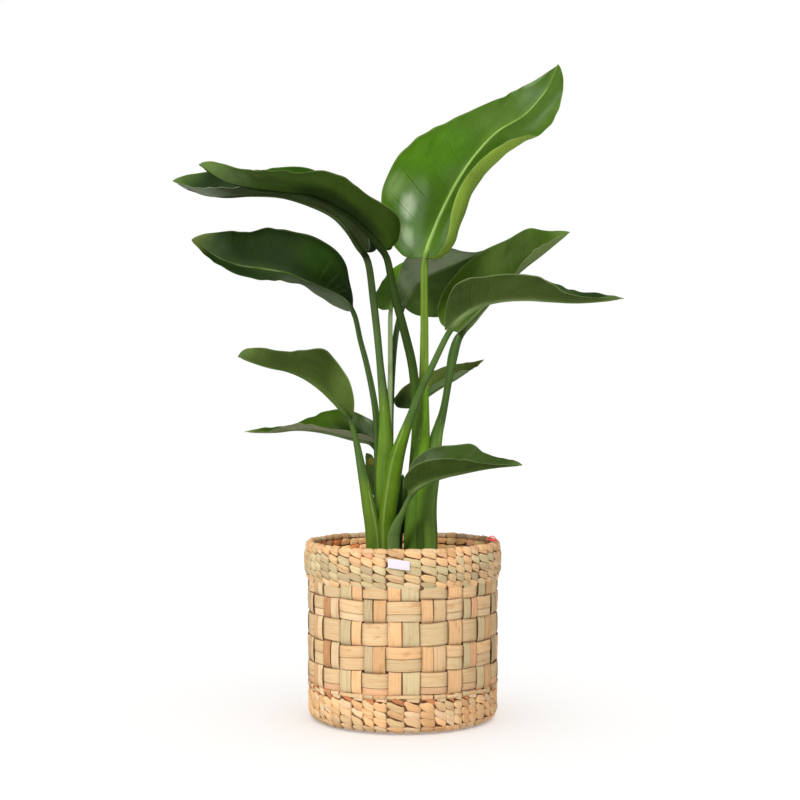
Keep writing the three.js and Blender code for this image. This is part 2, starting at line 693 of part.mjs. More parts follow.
// Small folded tag in the front of the rim, bent to the rim's curve
function makeTag() {
  const radius = basket.rimRadius + stitches.relief + tag.gap;
  const middle = radians(tag.angle);
  const half = tag.width / 2 / radius;
  const shape = new THREE.Shape();
  shape.absarc(0, 0, radius, middle - half, middle + half, false);
  shape.absarc(0, 0, radius + tag.thickness, middle + half, middle - half, true);
  shape.closePath();
  const geometry = new THREE.ExtrudeGeometry(shape, {
    depth: tag.height,
    bevelEnabled: false,
    curveSegments: tag.facets,
  });
  geometry.translate(0, 0, tag.bottom);
  return solidFrom(geometry);
}

// Short red thread that lies over the rim at the right
function makeThread() {
  const curve = new THREE.CatmullRomCurve3(thread.route.map((point) => new THREE.Vector3(...point)));
  const section = new THREE.Shape();
  section.absarc(0, 0, thread.radius, 0, 2 * Math.PI, false);
  const geometry = new THREE.ExtrudeGeometry(section, {
    extrudePath: curve,
    steps: thread.steps,
    curveSegments: 4,
    bevelEnabled: false,
  });
  return solidFrom(geometry);
}

const plant = new THREE.Group();
plant.add(namedMesh('basket_rim', geometryOf(makeRim()), { color: 0xd9b98c, roughness: 0.75 }));
plant.add(namedMesh('basket_weave', geometryOf(makeWeave()), { color: 0xdcc195, roughness: 0.75 }));
plant.add(namedMesh('basket_base', geometryOf(makeFoot()), { color: 0xcfa678, roughness: 0.75 }));
plant.add(namedMesh('nursery_pot', geometryOf(makePot()), { color: 0x26221f, roughness: 0.6 }));
plant.add(namedMesh('soil', geometryOf(makeSoil()), { color: 0x35261b, roughness: 0.95 }));
makeLeaves().forEach((leaf) => plant.add(leaf));
plant.add(namedMesh('rim_tag', geometryOf(makeTag()), { color: 0xf2f0ea, roughness: 0.6 }));
plant.add(namedMesh('rim_thread', geometryOf(makeThread()), { color: 0xc22a35, roughness: 0.7 }));

export default plant;
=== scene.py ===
import math
import bpy
import numpy as np
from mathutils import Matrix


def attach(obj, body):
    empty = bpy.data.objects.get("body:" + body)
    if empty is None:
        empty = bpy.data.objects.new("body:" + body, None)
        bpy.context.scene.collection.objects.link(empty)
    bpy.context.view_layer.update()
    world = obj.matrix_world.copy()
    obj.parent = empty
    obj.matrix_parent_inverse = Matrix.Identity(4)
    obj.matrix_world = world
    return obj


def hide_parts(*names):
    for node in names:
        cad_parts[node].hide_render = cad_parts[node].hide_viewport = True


# A potted bird of paradise in a basket woven from palm leaf.
# Lengths are millimetres until a piece is finished, which turns them to metres.
# The front of the plant is toward -Y, and angles round the basket run from there toward +X.

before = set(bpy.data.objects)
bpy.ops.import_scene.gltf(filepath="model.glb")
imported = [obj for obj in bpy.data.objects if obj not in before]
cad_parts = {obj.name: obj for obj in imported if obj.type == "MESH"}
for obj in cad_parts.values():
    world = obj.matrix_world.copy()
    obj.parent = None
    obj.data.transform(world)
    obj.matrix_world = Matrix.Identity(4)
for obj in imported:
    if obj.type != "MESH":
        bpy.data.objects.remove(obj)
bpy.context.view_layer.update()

lightGain = 1.12    # how much brighter than its own colour a surface comes out in this light
zero = (0.0, 0.0, 0.0)


# Colours of a photograph's brightness (0-255) as the surface colours that give it in this light
def paint(colours):
    share = np.array(colours, float) / 255
    return np.where(share <= 0.04045, share / 12.92, ((share + 0.055) / 1.055) ** 2.4) / lightGain


def smoothStep(value, low, high):
    share = np.clip((value - low) / (high - low), 0, 1)
    return share * share * (3 - 2 * share)


def blendTo(first, second, share):
    share = np.asarray(share, float)[..., None]
    return first * (1 - share) + second * share


def unit(vectors):
    return vectors / np.maximum(np.linalg.norm(vectors, axis=-1, keepdims=True), 1e-9)


# Grids of numbers as one grid of points
def together(*fields):
    return np.stack(np.broadcast_arrays(*fields), axis=-1)


# Points at an angle (degrees), a radius and a height
def around(angle, radius, height):
    turn = np.radians(angle)
    return together(radius * np.sin(turn), -radius * np.cos(turn), height)


def anglesRound(sides):
    return np.linspace(0, 360, sides + 1)[:-1]


# Points of a ring turned from a closed profile of radii and heights
def turned(profile, sides):
    radius, height = np.array(profile, float).T[..., None]
    return around(anglesRound(sides), radius, height)


# Places on a flat disc, from its middle outward
def discPlaces(middle, radii, sides):
    radii, turn = np.append(middle, radii)[:, None], np.radians(anglesRound(sides))
    return radii, radii * np.sin(turn), radii * np.cos(turn)


# Smooth values of a short list of numbers or points at t from 0 to 1
def valueAt(values, t):
    rows = np.array(values, float)
    padded = np.concatenate([[2 * rows[0] - rows[1]], rows, [2 * rows[-1] - rows[-2]]])
    place = np.clip(t, 0, 1) * (len(rows) - 1)
    i = np.minimum(place.astype(int), len(rows) - 2)
    f = (place - i).reshape((-1,) + (1,) * (rows.ndim - 1))
    a, b, c, d = (padded[i + step] for step in range(4))
    bend = (2 * a - 5 * b + 4 * c - d) * f ** 2 + (3 * b - 3 * c + d - a) * f ** 3
    return 0.5 * (2 * b + (c - a) * f + bend)


# Quads of a grid of points; wrap joins its last column to its first, and closed its last row too
def gridQuads(rows, columns, wrap=False, closed=False):
    index = np.pad(np.arange(rows * columns).reshape(rows, columns), ((0, closed), (0, wrap)), "wrap")
    return together(index[:-1, :-1], index[:-1, 1:], index[1:, 1:], index[1:, :-1]).reshape(-1, 4)


# A new object in the scene
def setUp(name, data, spot=zero, turn=zero):
    made = bpy.data.objects.new(name, data)
    made.location, made.rotation_euler = spot, turn
    bpy.context.scene.collection.objects.link(made)
    return made


# The points, faces and surface fields of one piece: tone is the colour, which an export without
# baked pictures shows too, place the position in the pattern (along, across, seed), detail holds
# shares that a material reads, and fold the distance to the nearest crease and its strength,
# for leaves alone.
class Shape:
    def __init__(self):
        self.faces = []
        self.count = 0
        self.fields = {"spot": [], "tone": [], "place": [], "detail": [], "fold": []}

    # Every field is one value, or a grid as the points are
    def add(self, points, groups, *fields):
        spots = points.reshape(-1, 3)
        volume = sum(
            np.sum(spots[group[:, 0]] * np.cross(spots[group[:, k]], spots[group[:, k + 1]]))
            for group in groups for k in range(1, group.shape[1] - 1)
        )
        for group in groups:
            self.faces += ((group[:, ::-1] if volume < 0 else group) + self.count).tolist()
        for kept, values in zip(self.fields.values(), (points, *fields)):
            kept.append(np.broadcast_to(values, points.shape).reshape(-1, 3))
        self.count += len(spots)

    # A closed sheet between two grids of points; a field may hold one grid for each of its faces
    def addSheet(self, top, under, *fields):
        rows, columns = top.shape[:2]
        size = rows * columns
        front = gridQuads(rows, columns)
        index = np.arange(size).reshape(rows, columns)
        ring = np.concatenate([index[0], index[1:, -1], index[-1, -2::-1], index[-2:0:-1, 0]])
        ahead = np.roll(ring, -1)
        side = together(ahead, ring, ring + size, ahead + size)
        self.add(np.stack([top, under]), [front, front[:, ::-1] + size, side], *fields)

    # A tube through closed rings of points, with its ends capped, or joined if it is closed
    def addTube(self, rings, *fields, closed=False):
        rows, columns = rings.shape[:2]
        quads = gridQuads(rows, columns, True, closed)
        if closed:
            return self.add(rings, [quads], *fields)
        size, ring = rows * columns, np.arange(columns)
        ahead, last = np.roll(ring, -1), size - columns
        caps = np.concatenate([together(ahead, ring, size), together(ring + last, ahead + last, size + 1)])

        def capped(field):
            full = np.broadcast_to(field, rings.shape)
            return np.concatenate([full.reshape(-1, 3), full[[0, -1]].mean(axis=1)])
        self.add(capped(rings), [quads, caps], *map(capped, fields))

    # The finished piece, in place of the named CAD node
    def finish(self, name, node, material, smooth=True):
        mesh = bpy.data.meshes.new(name)
        fields = {field: np.concatenate(kept) for field, kept in self.fields.items() if kept}
        mesh.from_pydata((fields.pop("spot") / 1000).tolist(), [], self.faces)
        colours = np.column_stack([fields.pop("tone"), np.ones(self.count)])
        mesh.attributes.new("tone", "FLOAT_COLOR", "POINT").data.foreach_set("color", colours.ravel())
        for field, values in fields.items():
            made = mesh.attributes.new(field, "FLOAT_VECTOR", "POINT")
            made.data.foreach_set("vector", values.ravel().astype(float))
        mesh.polygons.foreach_set("use_smooth", [smooth] * len(mesh.polygons))
        mesh.materials.append(material)
        piece = setUp(name, mesh)
        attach(piece, "root")
        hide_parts(node)
        print(name, len(self.faces), "faces")


# Short ways to lay out the nodes of a material or of the sky
class Finish:
    def __init__(self, name, kind="materials", shader="Principled BSDF"):
        self.block = getattr(bpy.data, kind).new(name)
        self.block.use_nodes = True
        self.tree = self.block.node_tree
        self.shader = self.tree.nodes[shader]

    def put(self, socket, value):
        if isinstance(value, bpy.types.NodeSocket):
            self.tree.links.new(value, socket)
        else:
            socket.default_value = (*value, 1) if socket.type == "RGBA" else value

    def set(self, **values):
        for name, value in values.items():
            self.put(self.shader.inputs[name.replace("_", " ")], value)

    # The outputs of a new node; its inputs are set by number or by name
    def node(self, kind, inputs=(), **settings):
        made = self.tree.nodes.new("ShaderNode" + kind)
        for name, value in settings.items():
            setattr(made, name, value)
        for key, value in inputs.items() if isinstance(inputs, dict) else enumerate(inputs):
            self.put(made.inputs[key], value)
        return made.outputs

    def field(self, name):
        return self.node("Attribute", attribute_name=name)

    def parts(self, name):
        return self.node("SeparateXYZ", [self.field(name)["Vector"]])

    def calc(self, operation, *values):
        return self.node("Math", values, operation=operation)[0]

    def times(self, first, second):
        return self.calc("MULTIPLY", first, second)

    # The place in the pattern, scaled along and across
    def stretched(self, along, across):
        x, y, seed = self.parts("place")
        return self.node("CombineXYZ", [self.times(x, along), self.times(y, across), seed])[0]

    def noise(self, vector, scale, detail=2.0, roughness=0.5):
        inputs = {"Vector": vector, "Scale": scale, "Detail": detail, "Roughness": roughness}
        return self.node("TexNoise", inputs)[0]

    def spread(self, value, low, high, toLow=0.0, toHigh=1.0):
        return self.node("MapRange", (value, low, high, toLow, toHigh), interpolation_type="SMOOTHSTEP")[0]

    def mix(self, share, first, second, way="MIX"):
        return self.node("Mix", {0: share, 6: first, 7: second}, data_type="RGBA", blend_type=way)[2]

    # A colour with coats of others laid over it by their shares
    def layers(self, colour, *coats):
        for share, coat in coats:
            colour = self.mix(share, colour, coat)
        return colour

    def bump(self, height, strength, distance):
        return self.node("Bump", {"Strength": strength, "Distance": distance, "Height": height})[0]


palmLook = {
    "fibres": 1.5, "paleFibre": (255, 240, 205), "crack": (120, 76, 42), "band": (196, 140, 88),
    "stain": (190, 122, 66), "edge": (150, 92, 48), "paintedShade": (74, 44, 22),
}


# Dry palm leaf: fibres run along the strip, with brown stains and darker edges, and painted shade laid over
# it by detail's second share
def makePalm():
    palm = Finish("dry_palm")
    edge, paintedShade, _ = palm.parts("detail")
    fibre = palm.noise(palm.stretched(0.035, palmLook["fibres"]), 1.0, 3.0, 0.6)
    band = palm.noise(palm.stretched(0.012, 0.33), 1.0, 1.0)
    stain = palm.noise(palm.stretched(0.05, 0.12), 1.0)
    colour = palm.layers(
        palm.field("tone")["Color"],
        (palm.spread(fibre, 0.35, 0.75, 0.0, 0.30), paint(palmLook["paleFibre"])),
        (palm.spread(fibre, 0.42, 0.2, 0.0, 0.45), paint(palmLook["crack"])),
        (palm.spread(band, 0.52, 0.72, 0.0, 0.30), paint(palmLook["band"])),
        (palm.spread(stain, 0.56, 0.8, 0.0, 0.45), paint(palmLook["stain"])),
        (palm.spread(edge, 0.86, 1.0, 0.0, 0.62), paint(palmLook["edge"])),
        # Painted shade, as much as detail's second share asks for
        (paintedShade, paint(palmLook["paintedShade"])),
    )
    palm.set(Base_Color=colour, Roughness=palm.spread(fibre, 0.3, 0.7, 0.52, 0.68))
    palm.set(Specular_IOR_Level=0.15, Normal=palm.bump(fibre, 0.45, 0.0006))
    return palm.block


palm = makePalm()

# The front columns' edges are in degrees; the rest of the way round is evenly spaced
basket = {
    "bodyRadius": 133.2, "rimSwell": 5.8, "innerRadius": 127.2, "footRadius": 126.0, "top": 250.0,
    "rimBottom": 194.0, "columns": 24, "shadeSheetRadii": (130.6, 129.6), "shadeSheetHeights": (6.0, 214.0),
    "frontColumns": (-66.9, -54.5, -39.8, -23.9, -9.4, 10.2, 26.2, 36.9, 48.8, 65.6),
    "shadeSheetTone": (160, 112, 66), "coreShadeTone": (150, 104, 60),
}


# Edges of the columns right round the basket, back to the first
def columnEdges():
    front = basket["frontColumns"]
    rest = np.linspace(front[-1], front[0] + 360, basket["columns"] - len(front) + 2)[1:-1]
    rest = rest + np.random.default_rng(4).uniform(-0.9, 0.9, len(rest))
    return np.concatenate([front, rest, [front[0] + 360]])


edges = columnEdges()

strawTones = {
    "straw": (228, 188, 137), "paleStraw": (234, 200, 155), "tan": (222, 170, 113),
    "peach": (243, 190, 133), "paleGreen": (210, 188, 141), "greyGreen": (200, 176, 133),
    "pink": (230, 170, 125), "brown": (196, 132, 77), "orange": (202, 118, 63),
}
weave = {
    "rowEdges": (206.0, 180.9, 151.9, 119.3, 84.5, 53.7, 47.0), "lift": 1.9, "thickness": 0.7, "cover": 0.9,
    "dome": 0.35, "singleColumn": 6, "uprightSway": 0.22, "bandSways": (0.9, 0.8), "dipShade": 0.25,
    "edgeShade": 0.10,
    # left and right strip of the front columns
    "columnTones": (
        "tan paleStraw", "brown paleStraw", "paleGreen peach", "greyGreen tan", "peach paleGreen",
        "peach straw", "peach peach", "paleGreen pink", "paleGreen tan",
    ),
    # upper and lower strip of every row, and where the row splits (1 for a single strip)
    "rowTones": (
        ("straw", "straw", 1), ("straw", "paleStraw", 0.62), ("straw", "tan", 1),
        ("peach", "straw", 0.48), ("straw", "pink", 0.66), ("straw", "straw", 1),
    ),
}


# A strip of palm leaf: a thin domed ribbon that rises over one cell and dips under the next.
# share is the place within the cell.
def addStrip(shape, angle, height, upright, over, share, proud, halfWidth, tone, along, seed):
    across = np.array([-1, -0.9, -0.45, 0, 0.45, 0.9, 1])
    lift = 1 - np.abs(2 * share - 1) ** 4
    radius = basket["bodyRadius"] + np.where(over, 1, -1) * weave["lift"] * lift + proud
    turn = np.radians(angle)
    outward = together(np.sin(turn), -np.cos(turn), 0)
    sideways = together(np.cos(turn), np.sin(turn), 0) if upright else np.array([[0, 0, -1.0]])
    half = halfWidth[:, None] * across
    dome = weave["dome"] * (1 - across ** 2)
    back = dome - weave["thickness"] * (1 - 0.35 * across ** 4)
    middle = around(angle, radius, height)[:, None] + sideways[:, None] * half[..., None]
    top, under = (middle + outward[:, None] * rise[:, None] for rise in (dome, back))
    # Painted shade where the strip dips under the next one, and toward the cell's ends where it turns over or
    # under
    stripShade = np.where(over, 0.0, weave["dipShade"]) + weave["edgeShade"] * (1 - lift)
    place, detail = together(along[:, None], half, seed), together(np.abs(across), stripShade[:, None], 0)
    shape.addSheet(top, under, tone[:, None], place, detail)


def addUprights(shape):
    rng = np.random.default_rng(11)
    rowEdges = np.array(weave["rowEdges"])
    heights = np.linspace(rowEdges[0], rowEdges[-1], 92)
    row = np.clip(np.searchsorted(-rowEdges, -heights, side="right") - 1, 0, len(rowEdges) - 2)
    share = (rowEdges[row] - heights) / (rowEdges[row] - rowEdges[row + 1])
    front = [names.split() for names in weave["columnTones"]]
    for column, (start, end) in enumerate(zip(edges, edges[1:])):
        slit = rng.uniform(0.44, 0.56)
        columnLean = rng.uniform(-1.0, 1.0)
        spans = [(0, 1)] if column == weave["singleColumn"] else [(0, slit), (slit, 1)]
        tones = front[column] if column < len(front) else rng.choice(list(strawTones)[:6], 2)
        for k, (low, high) in enumerate(spans):
            inset = (1 - weave["cover"]) / 2 * rng.uniform(0.5, 1.3)
            lean = columnLean + rng.uniform(-0.2, 0.2)
            sway = lean * (heights - 120) / 75
            sway = sway + weave["uprightSway"] * np.sin(heights / 31 + rng.uniform(0, 6))
            left = start + (end - start) * (low + (0.004 if k else inset))
            right = start + (end - start) * (high - (inset if high == 1 else 0.012))
            halfWidth = basket["bodyRadius"] * np.radians(right - left) / 2
            halfWidth = halfWidth * (1 - 0.03 * np.sin(heights / 17 + rng.uniform(0, 6)))
            tone = paint(strawTones[tones[k]]) * np.interp(row, range(6), rng.uniform(0.9, 1.07, 6))[:, None]
            addStrip(
                shape, (left + right) / 2 + sway, heights, True, (column + row) % 2 == 0, share, 0.0,
                halfWidth, tone, heights, 7.3 * column + 3.1 * k,
            )


def addBands(shape):
    rng = np.random.default_rng(12)
    angles = np.linspace(edges[0], edges[-1], 11 * basket["columns"] + 1)
    turn = np.radians(angles)
    column = np.clip(np.searchsorted(edges, angles, side="right") - 1, 0, basket["columns"] - 1)
    share = (angles - edges[column]) / (edges[column + 1] - edges[column])
    wide, fine = weave["bandSways"]
    for row, (upper, lower, split) in enumerate(weave["rowTones"]):
        top, bottom = weave["rowEdges"][row:row + 2]
        swings = rng.uniform(0, 6, 2)
        sway = wide * np.sin(turn * 3 + swings[0]) + fine * np.sin(turn * 9 + swings[1])
        spans = [(0, split, upper), (split, 1, lower)]
        for k, (low, high, name) in enumerate(spans[:1] if split == 1 else spans):
            first = top - (top - bottom) * low - (0.15 if low else 0.9)
            last = top - (top - bottom) * high + (0.9 if high == 1 else -0.5)
            halfWidth = (first - last) / 2 * (1 + 0.012 * np.sin(turn * 11 + row))
            perCell = rng.uniform(0.9, 1.07, basket["columns"])[column][:, None]
            greens = rng.uniform(0, 0.5, basket["columns"])[column]
            tone = blendTo(paint(strawTones[name]), paint(strawTones["paleGreen"]), greens) * perCell
            addStrip(
                shape, angles, (first + last) / 2 + sway, False, (column + row) % 2 == 1, share,
                (0.3 - 0.6 * k) * (split < 1), halfWidth, tone, angles * 2.34, 41.7 + 5.9 * row + 2.3 * k,
            )


# A dark sheet behind the strips: painted shade that fills the gaps between them
def addShadeSheet(shape):
    heights = np.linspace(*basket["shadeSheetHeights"], 27)
    heights = np.append(heights, heights[::-1])[:, None]
    rings = around(anglesRound(96), np.repeat(basket["shadeSheetRadii"], 27)[:, None], heights)
    place = together(anglesRound(96) * 2.3, heights, 3.0)
    shape.addTube(rings, paint(basket["shadeSheetTone"]), place, (0.0, 0.62, 0.0), closed=True)


def makeWeave():
    shape = Shape()
    addUprights(shape)
    addBands(shape)
    addShadeSheet(shape)
    shape.finish("basket_strips", "basket_weave", palm)


makeWeave()

# Twined stitches: folded pads with six corners. The left point is tucked under the stitch
# before it, and the corner below that point stays open as a small dark gap.
stitch = {
    "along": (0.0, 0.11, 0.28, 0.55, 0.8, 0.93, 1.0),
    "upper": (1.8, 4.4, 5.7, 5.2, 4.6, 3.9, 1.2),
    "lower": (0.4, -1.4, -4.4, -5.3, -6.0, -6.2, -4.4),
    "lift": (-0.9, 0.5, 1.5, 1.9, 1.6, 1.0, -0.9),
    "across": (-1.0, -0.78, 0.0, 0.78, 1.0),
    "section": (-1.1, 0.0, 0.45, 0.0, -1.1),
    "overlap": 2.6, "depth": 2.4, "sink": 1.1,
}


# Two stitches to a column
def stitchEdges():
    rng = np.random.default_rng(21)
    pairs = [(start, start + (end - start) * rng.uniform(0.46, 0.56)) for start, end in zip(edges, edges[1:])]
    return np.append(pairs, edges[-1])


stitchCuts = stitchEdges()


# One row of stitches round the basket. facing is 1 outside and -1 inside, slants gives the
# fall and the height of every stitch in turn, and inTurn takes the tones one after the other.
# light scales the tones; it is painted light, which makes the inner rows lighter.
def addStitchRow(
    shape, rng, radiusAt, height, tones, squash, wild,
    slants=((0.0, 1.0),), facing=1, light=1.0, inTurn=False,
):
    vary = lambda reach, *size: rng.uniform(-reach, reach, size or None)
    t, across, topLine, lowLine, lift, profile = (
        np.array(stitch[key]) for key in ("along", "across", "upper", "lower", "lift", "section")
    )
    tones = tones.split()
    degree = math.radians(1) * radiusAt(height)
    ends = 1 - smoothStep(np.minimum(t, 1 - t), 0.0, 0.1)[:, None]
    for k, (start, end) in enumerate(zip(stitchCuts, stitchCuts[1:])):
        fall, tall = slants[k % len(slants)]
        first = start * degree - stitch["overlap"] * rng.uniform(0.5, 1.3)
        last = end * degree + rng.uniform(-0.2, 0.8)
        distance = (first + (last - first) * (t + vary(0.03, len(t)) * (t > 0) * (t < 1)))[:, None]
        upper = topLine + vary(0.6, len(t)) * wild
        lower = lowLine + vary(0.6, len(t)) * wild
        turnDown = (fall + vary(1.2) * wild) * (0.5 - t)
        middle = (upper + lower) / 2 * squash + turnDown + vary(0.5) * wild
        half = np.maximum((upper - lower) / 2 * squash * tall, 0.5)
        z = height + middle[:, None] + half[:, None] * across
        rise = lift + vary(0.3, len(t)) + vary(0.4) * wild
        section = profile * rng.uniform(0.7, 1.3) + vary(0.5) * across
        relief = rise[:, None] + section + vary(0.16, *z.shape) * wild
        outer = radiusAt(z) + facing * (relief - stitch["sink"])
        inner = radiusAt(z) + facing * (np.minimum(relief, 0.2) - stitch["depth"])
        choice = tones[k % len(tones) if inTurn else rng.integers(len(tones))]
        tone = paint(strawTones[choice]) * rng.uniform(0.86, 1.12) * light
        tone = tone * (1 + vary(0.07, 1, len(across), 1)) * (0.97 + 0.06 * rng.random(3))
        place = together(distance, z - height + 0.22 * distance, rng.uniform(0, 90))
        # Darker edges, and painted shade at the ends, which tuck under the neighbouring stitches
        detail = together(np.maximum(np.abs(across), ends), 0.42 * ends, 0)
        angle = distance / degree
        shape.addSheet(around(angle, outer, z), around(angle, inner, z), tone, place, detail)


crown = {
    "radius": 132.6, "depth": 5.6, "rise": 7.2, "height": 243.6, "thickness": 1.8,
    "tones": ("peach", "tan", "straw", "paleStraw", "pink", "tan"),
}


# Folded stitches that lie over the top edge of the rim
def addCrown(shape, rng):
    t = np.linspace(0, 1, 15)[:, None]
    across = np.array([-1, -0.85, -0.4, 0, 0.4, 0.85, 1])
    turn = math.pi * (0.02 + 0.96 * t)
    over = lambda angle, depth, rise: around(
        angle, crown["radius"] + depth * np.cos(turn), crown["height"] + rise * np.sin(turn) ** 0.8)
    for k, (start, end) in enumerate(zip(stitchCuts, stitchCuts[1:])):
        skew, bulge, tall = rng.uniform(0.2, 1.6), rng.uniform(-0.6, 0.9), rng.uniform(-0.9, 0.5)
        angle = (start + end) / 2 + skew * (0.5 - t) + (end - start) / 2 * 0.97 * across
        lift = 1.1 * (1 - np.abs(across) ** 2.5) + 0.2 * np.sin(across * 6 + k) - 0.9
        top = over(angle, crown["depth"] + lift + bulge, crown["rise"] + lift + tall)
        under = over(angle, crown["depth"] - crown["thickness"], crown["rise"] - crown["thickness"] - 0.1)
        tone = paint(strawTones[crown["tones"][rng.integers(6)]]) * rng.uniform(0.92, 1.06)
        place = together(t * 24, angle * 2.3, rng.uniform(0, 90))
        shape.addSheet(top, under, tone, place, together(np.abs(across), 0, 0))


# The ring the stitches wrap round, painted dark with shade, as it shows only in the gaps between them
def addRingCore(shape, profile):
    tone, place, detail = paint(basket["coreShadeTone"]), (0.0, 0.0, 5.0), (0.0, 0.7, 0.0)
    shape.addTube(turned(profile, 96), tone, place, detail, closed=True)


def rimOuter(height):
    share = (height - basket["rimBottom"]) / (basket["top"] - basket["rimBottom"])
    swell = np.sin(np.clip(share * 2.2, 0, 1) * math.pi / 2)
    return basket["bodyRadius"] + 0.6 + basket["rimSwell"] * swell - 2.4 * smoothStep(share, 0.6, 1.0)


def rimInner(height):
    return basket["innerRadius"] + 0.03 * (height - basket["rimBottom"])


# Outer rows: height, tones, squash and fall of the stitches
rim = {
    "rows": (
        (243.4, "peach tan peach pink straw", 0.88, 2.6),
        (232.8, "paleGreen peach greyGreen straw paleGreen", 1.06, 3.4),
        (221.6, "paleGreen greyGreen straw paleGreen", 1.06, 3.4),
        (210.4, "paleGreen straw greyGreen straw", 1.06, 3.4),
        (200.6, "straw paleStraw paleGreen peach", 0.88, 2.6),
    ),
    # The inner rows are painted lighter, as painted light
    "innerRows": (239.0, 227.6, 216.4), "innerTones": "peach tan straw pink orange", "innerPaintedLight": 2.4,
    "core": (
        (134.6, 195), (135.4, 205), (136.2, 222), (136.2, 243), (133, 246), (130.6, 243), (129.8, 222),
        (129.4, 205), (129.2, 195),
    ),
}


def makeRim():
    shape = Shape()
    rng = np.random.default_rng(31)
    for height, tones, squash, fall in rim["rows"]:
        addStitchRow(shape, rng, rimOuter, height, tones, squash, 1.0, ((fall, 1.0),))
    for height in rim["innerRows"]:
        addStitchRow(
            shape, rng, rimInner, height, rim["innerTones"], 0.98, 1.0, facing=-1, light=rim["innerPaintedLight"],
        )
    addCrown(shape, rng)
    addRingCore(shape, rim["core"])
    shape.finish("rim_stitches", "basket_rim", palm, smooth=False)


makeRim()


def footOuter(height):
    swell = np.sin(np.clip(height / 14, 0, 1) * math.pi / 2)
    return basket["footRadius"] - 0.4 + (basket["bodyRadius"] + 0.9 - basket["footRadius"]) * swell


foot = {
    "topRow": 48.6, "topTones": "orange paleStraw", "topSlants": ((8.5, 0.8), (0.0, 0.9)),
    "rows": (37.6, 26.8, 16.4), "slants": ((4.0, 1.0), (1.5, 1.0), (5.0, 0.9)), "lowRow": 6.6,
    "tones": "peach straw peach tan paleStraw", "cell": 17.0, "floorTop": 6.6,
    "core": ((124.5, 3.2), (129.5, 6), (132.0, 14), (132.2, 54), (129.4, 54), (126.2, 30), (122.4, 8)),
}


# The plaited disc under the basket: a chequer of strips in low relief
def addUnderside(shape):
    radii, x, y = discPlaces(3.0, np.linspace(7, 123, 59), 144)
    cell = foot["cell"]
    wave = np.abs(np.sin(math.pi * x / cell)) * np.abs(np.sin(math.pi * y / cell))
    odd = (np.floor(x / cell) + np.floor(y / cell)) % 2
    level = 1.9 - 0.9 * wave - 0.7 * odd + 3.0 * np.clip((radii - 112) / 11, 0, 1) ** 2
    rings = np.concatenate([together(x, y, level), together(x, y, foot["floorTop"])[::-1]])
    place = together(np.where(odd > 0, x, y), np.where(odd > 0, y, x), odd * 7 + 60)
    tone = paint(strawTones["tan"])
    # A little painted shade on the underside
    shape.addTube(rings, tone, np.concatenate([place, place[::-1]]), (0.0, 0.1, 0.0))


def makeFoot():
    shape = Shape()
    rng = np.random.default_rng(41)
    addStitchRow(
        shape, rng, footOuter, foot["topRow"], foot["topTones"], 1.0, 1.0, foot["topSlants"], inTurn=True,
    )
    for height in foot["rows"]:
        addStitchRow(shape, rng, footOuter, height, foot["tones"], 1.16, 1.9, foot["slants"])
    addStitchRow(shape, rng, footOuter, foot["lowRow"], foot["tones"], 0.82, 1.2)
    addRingCore(shape, foot["core"])
    addUnderside(shape)
    shape.finish("foot_stitches", "basket_base", palm, smooth=False)


makeFoot()
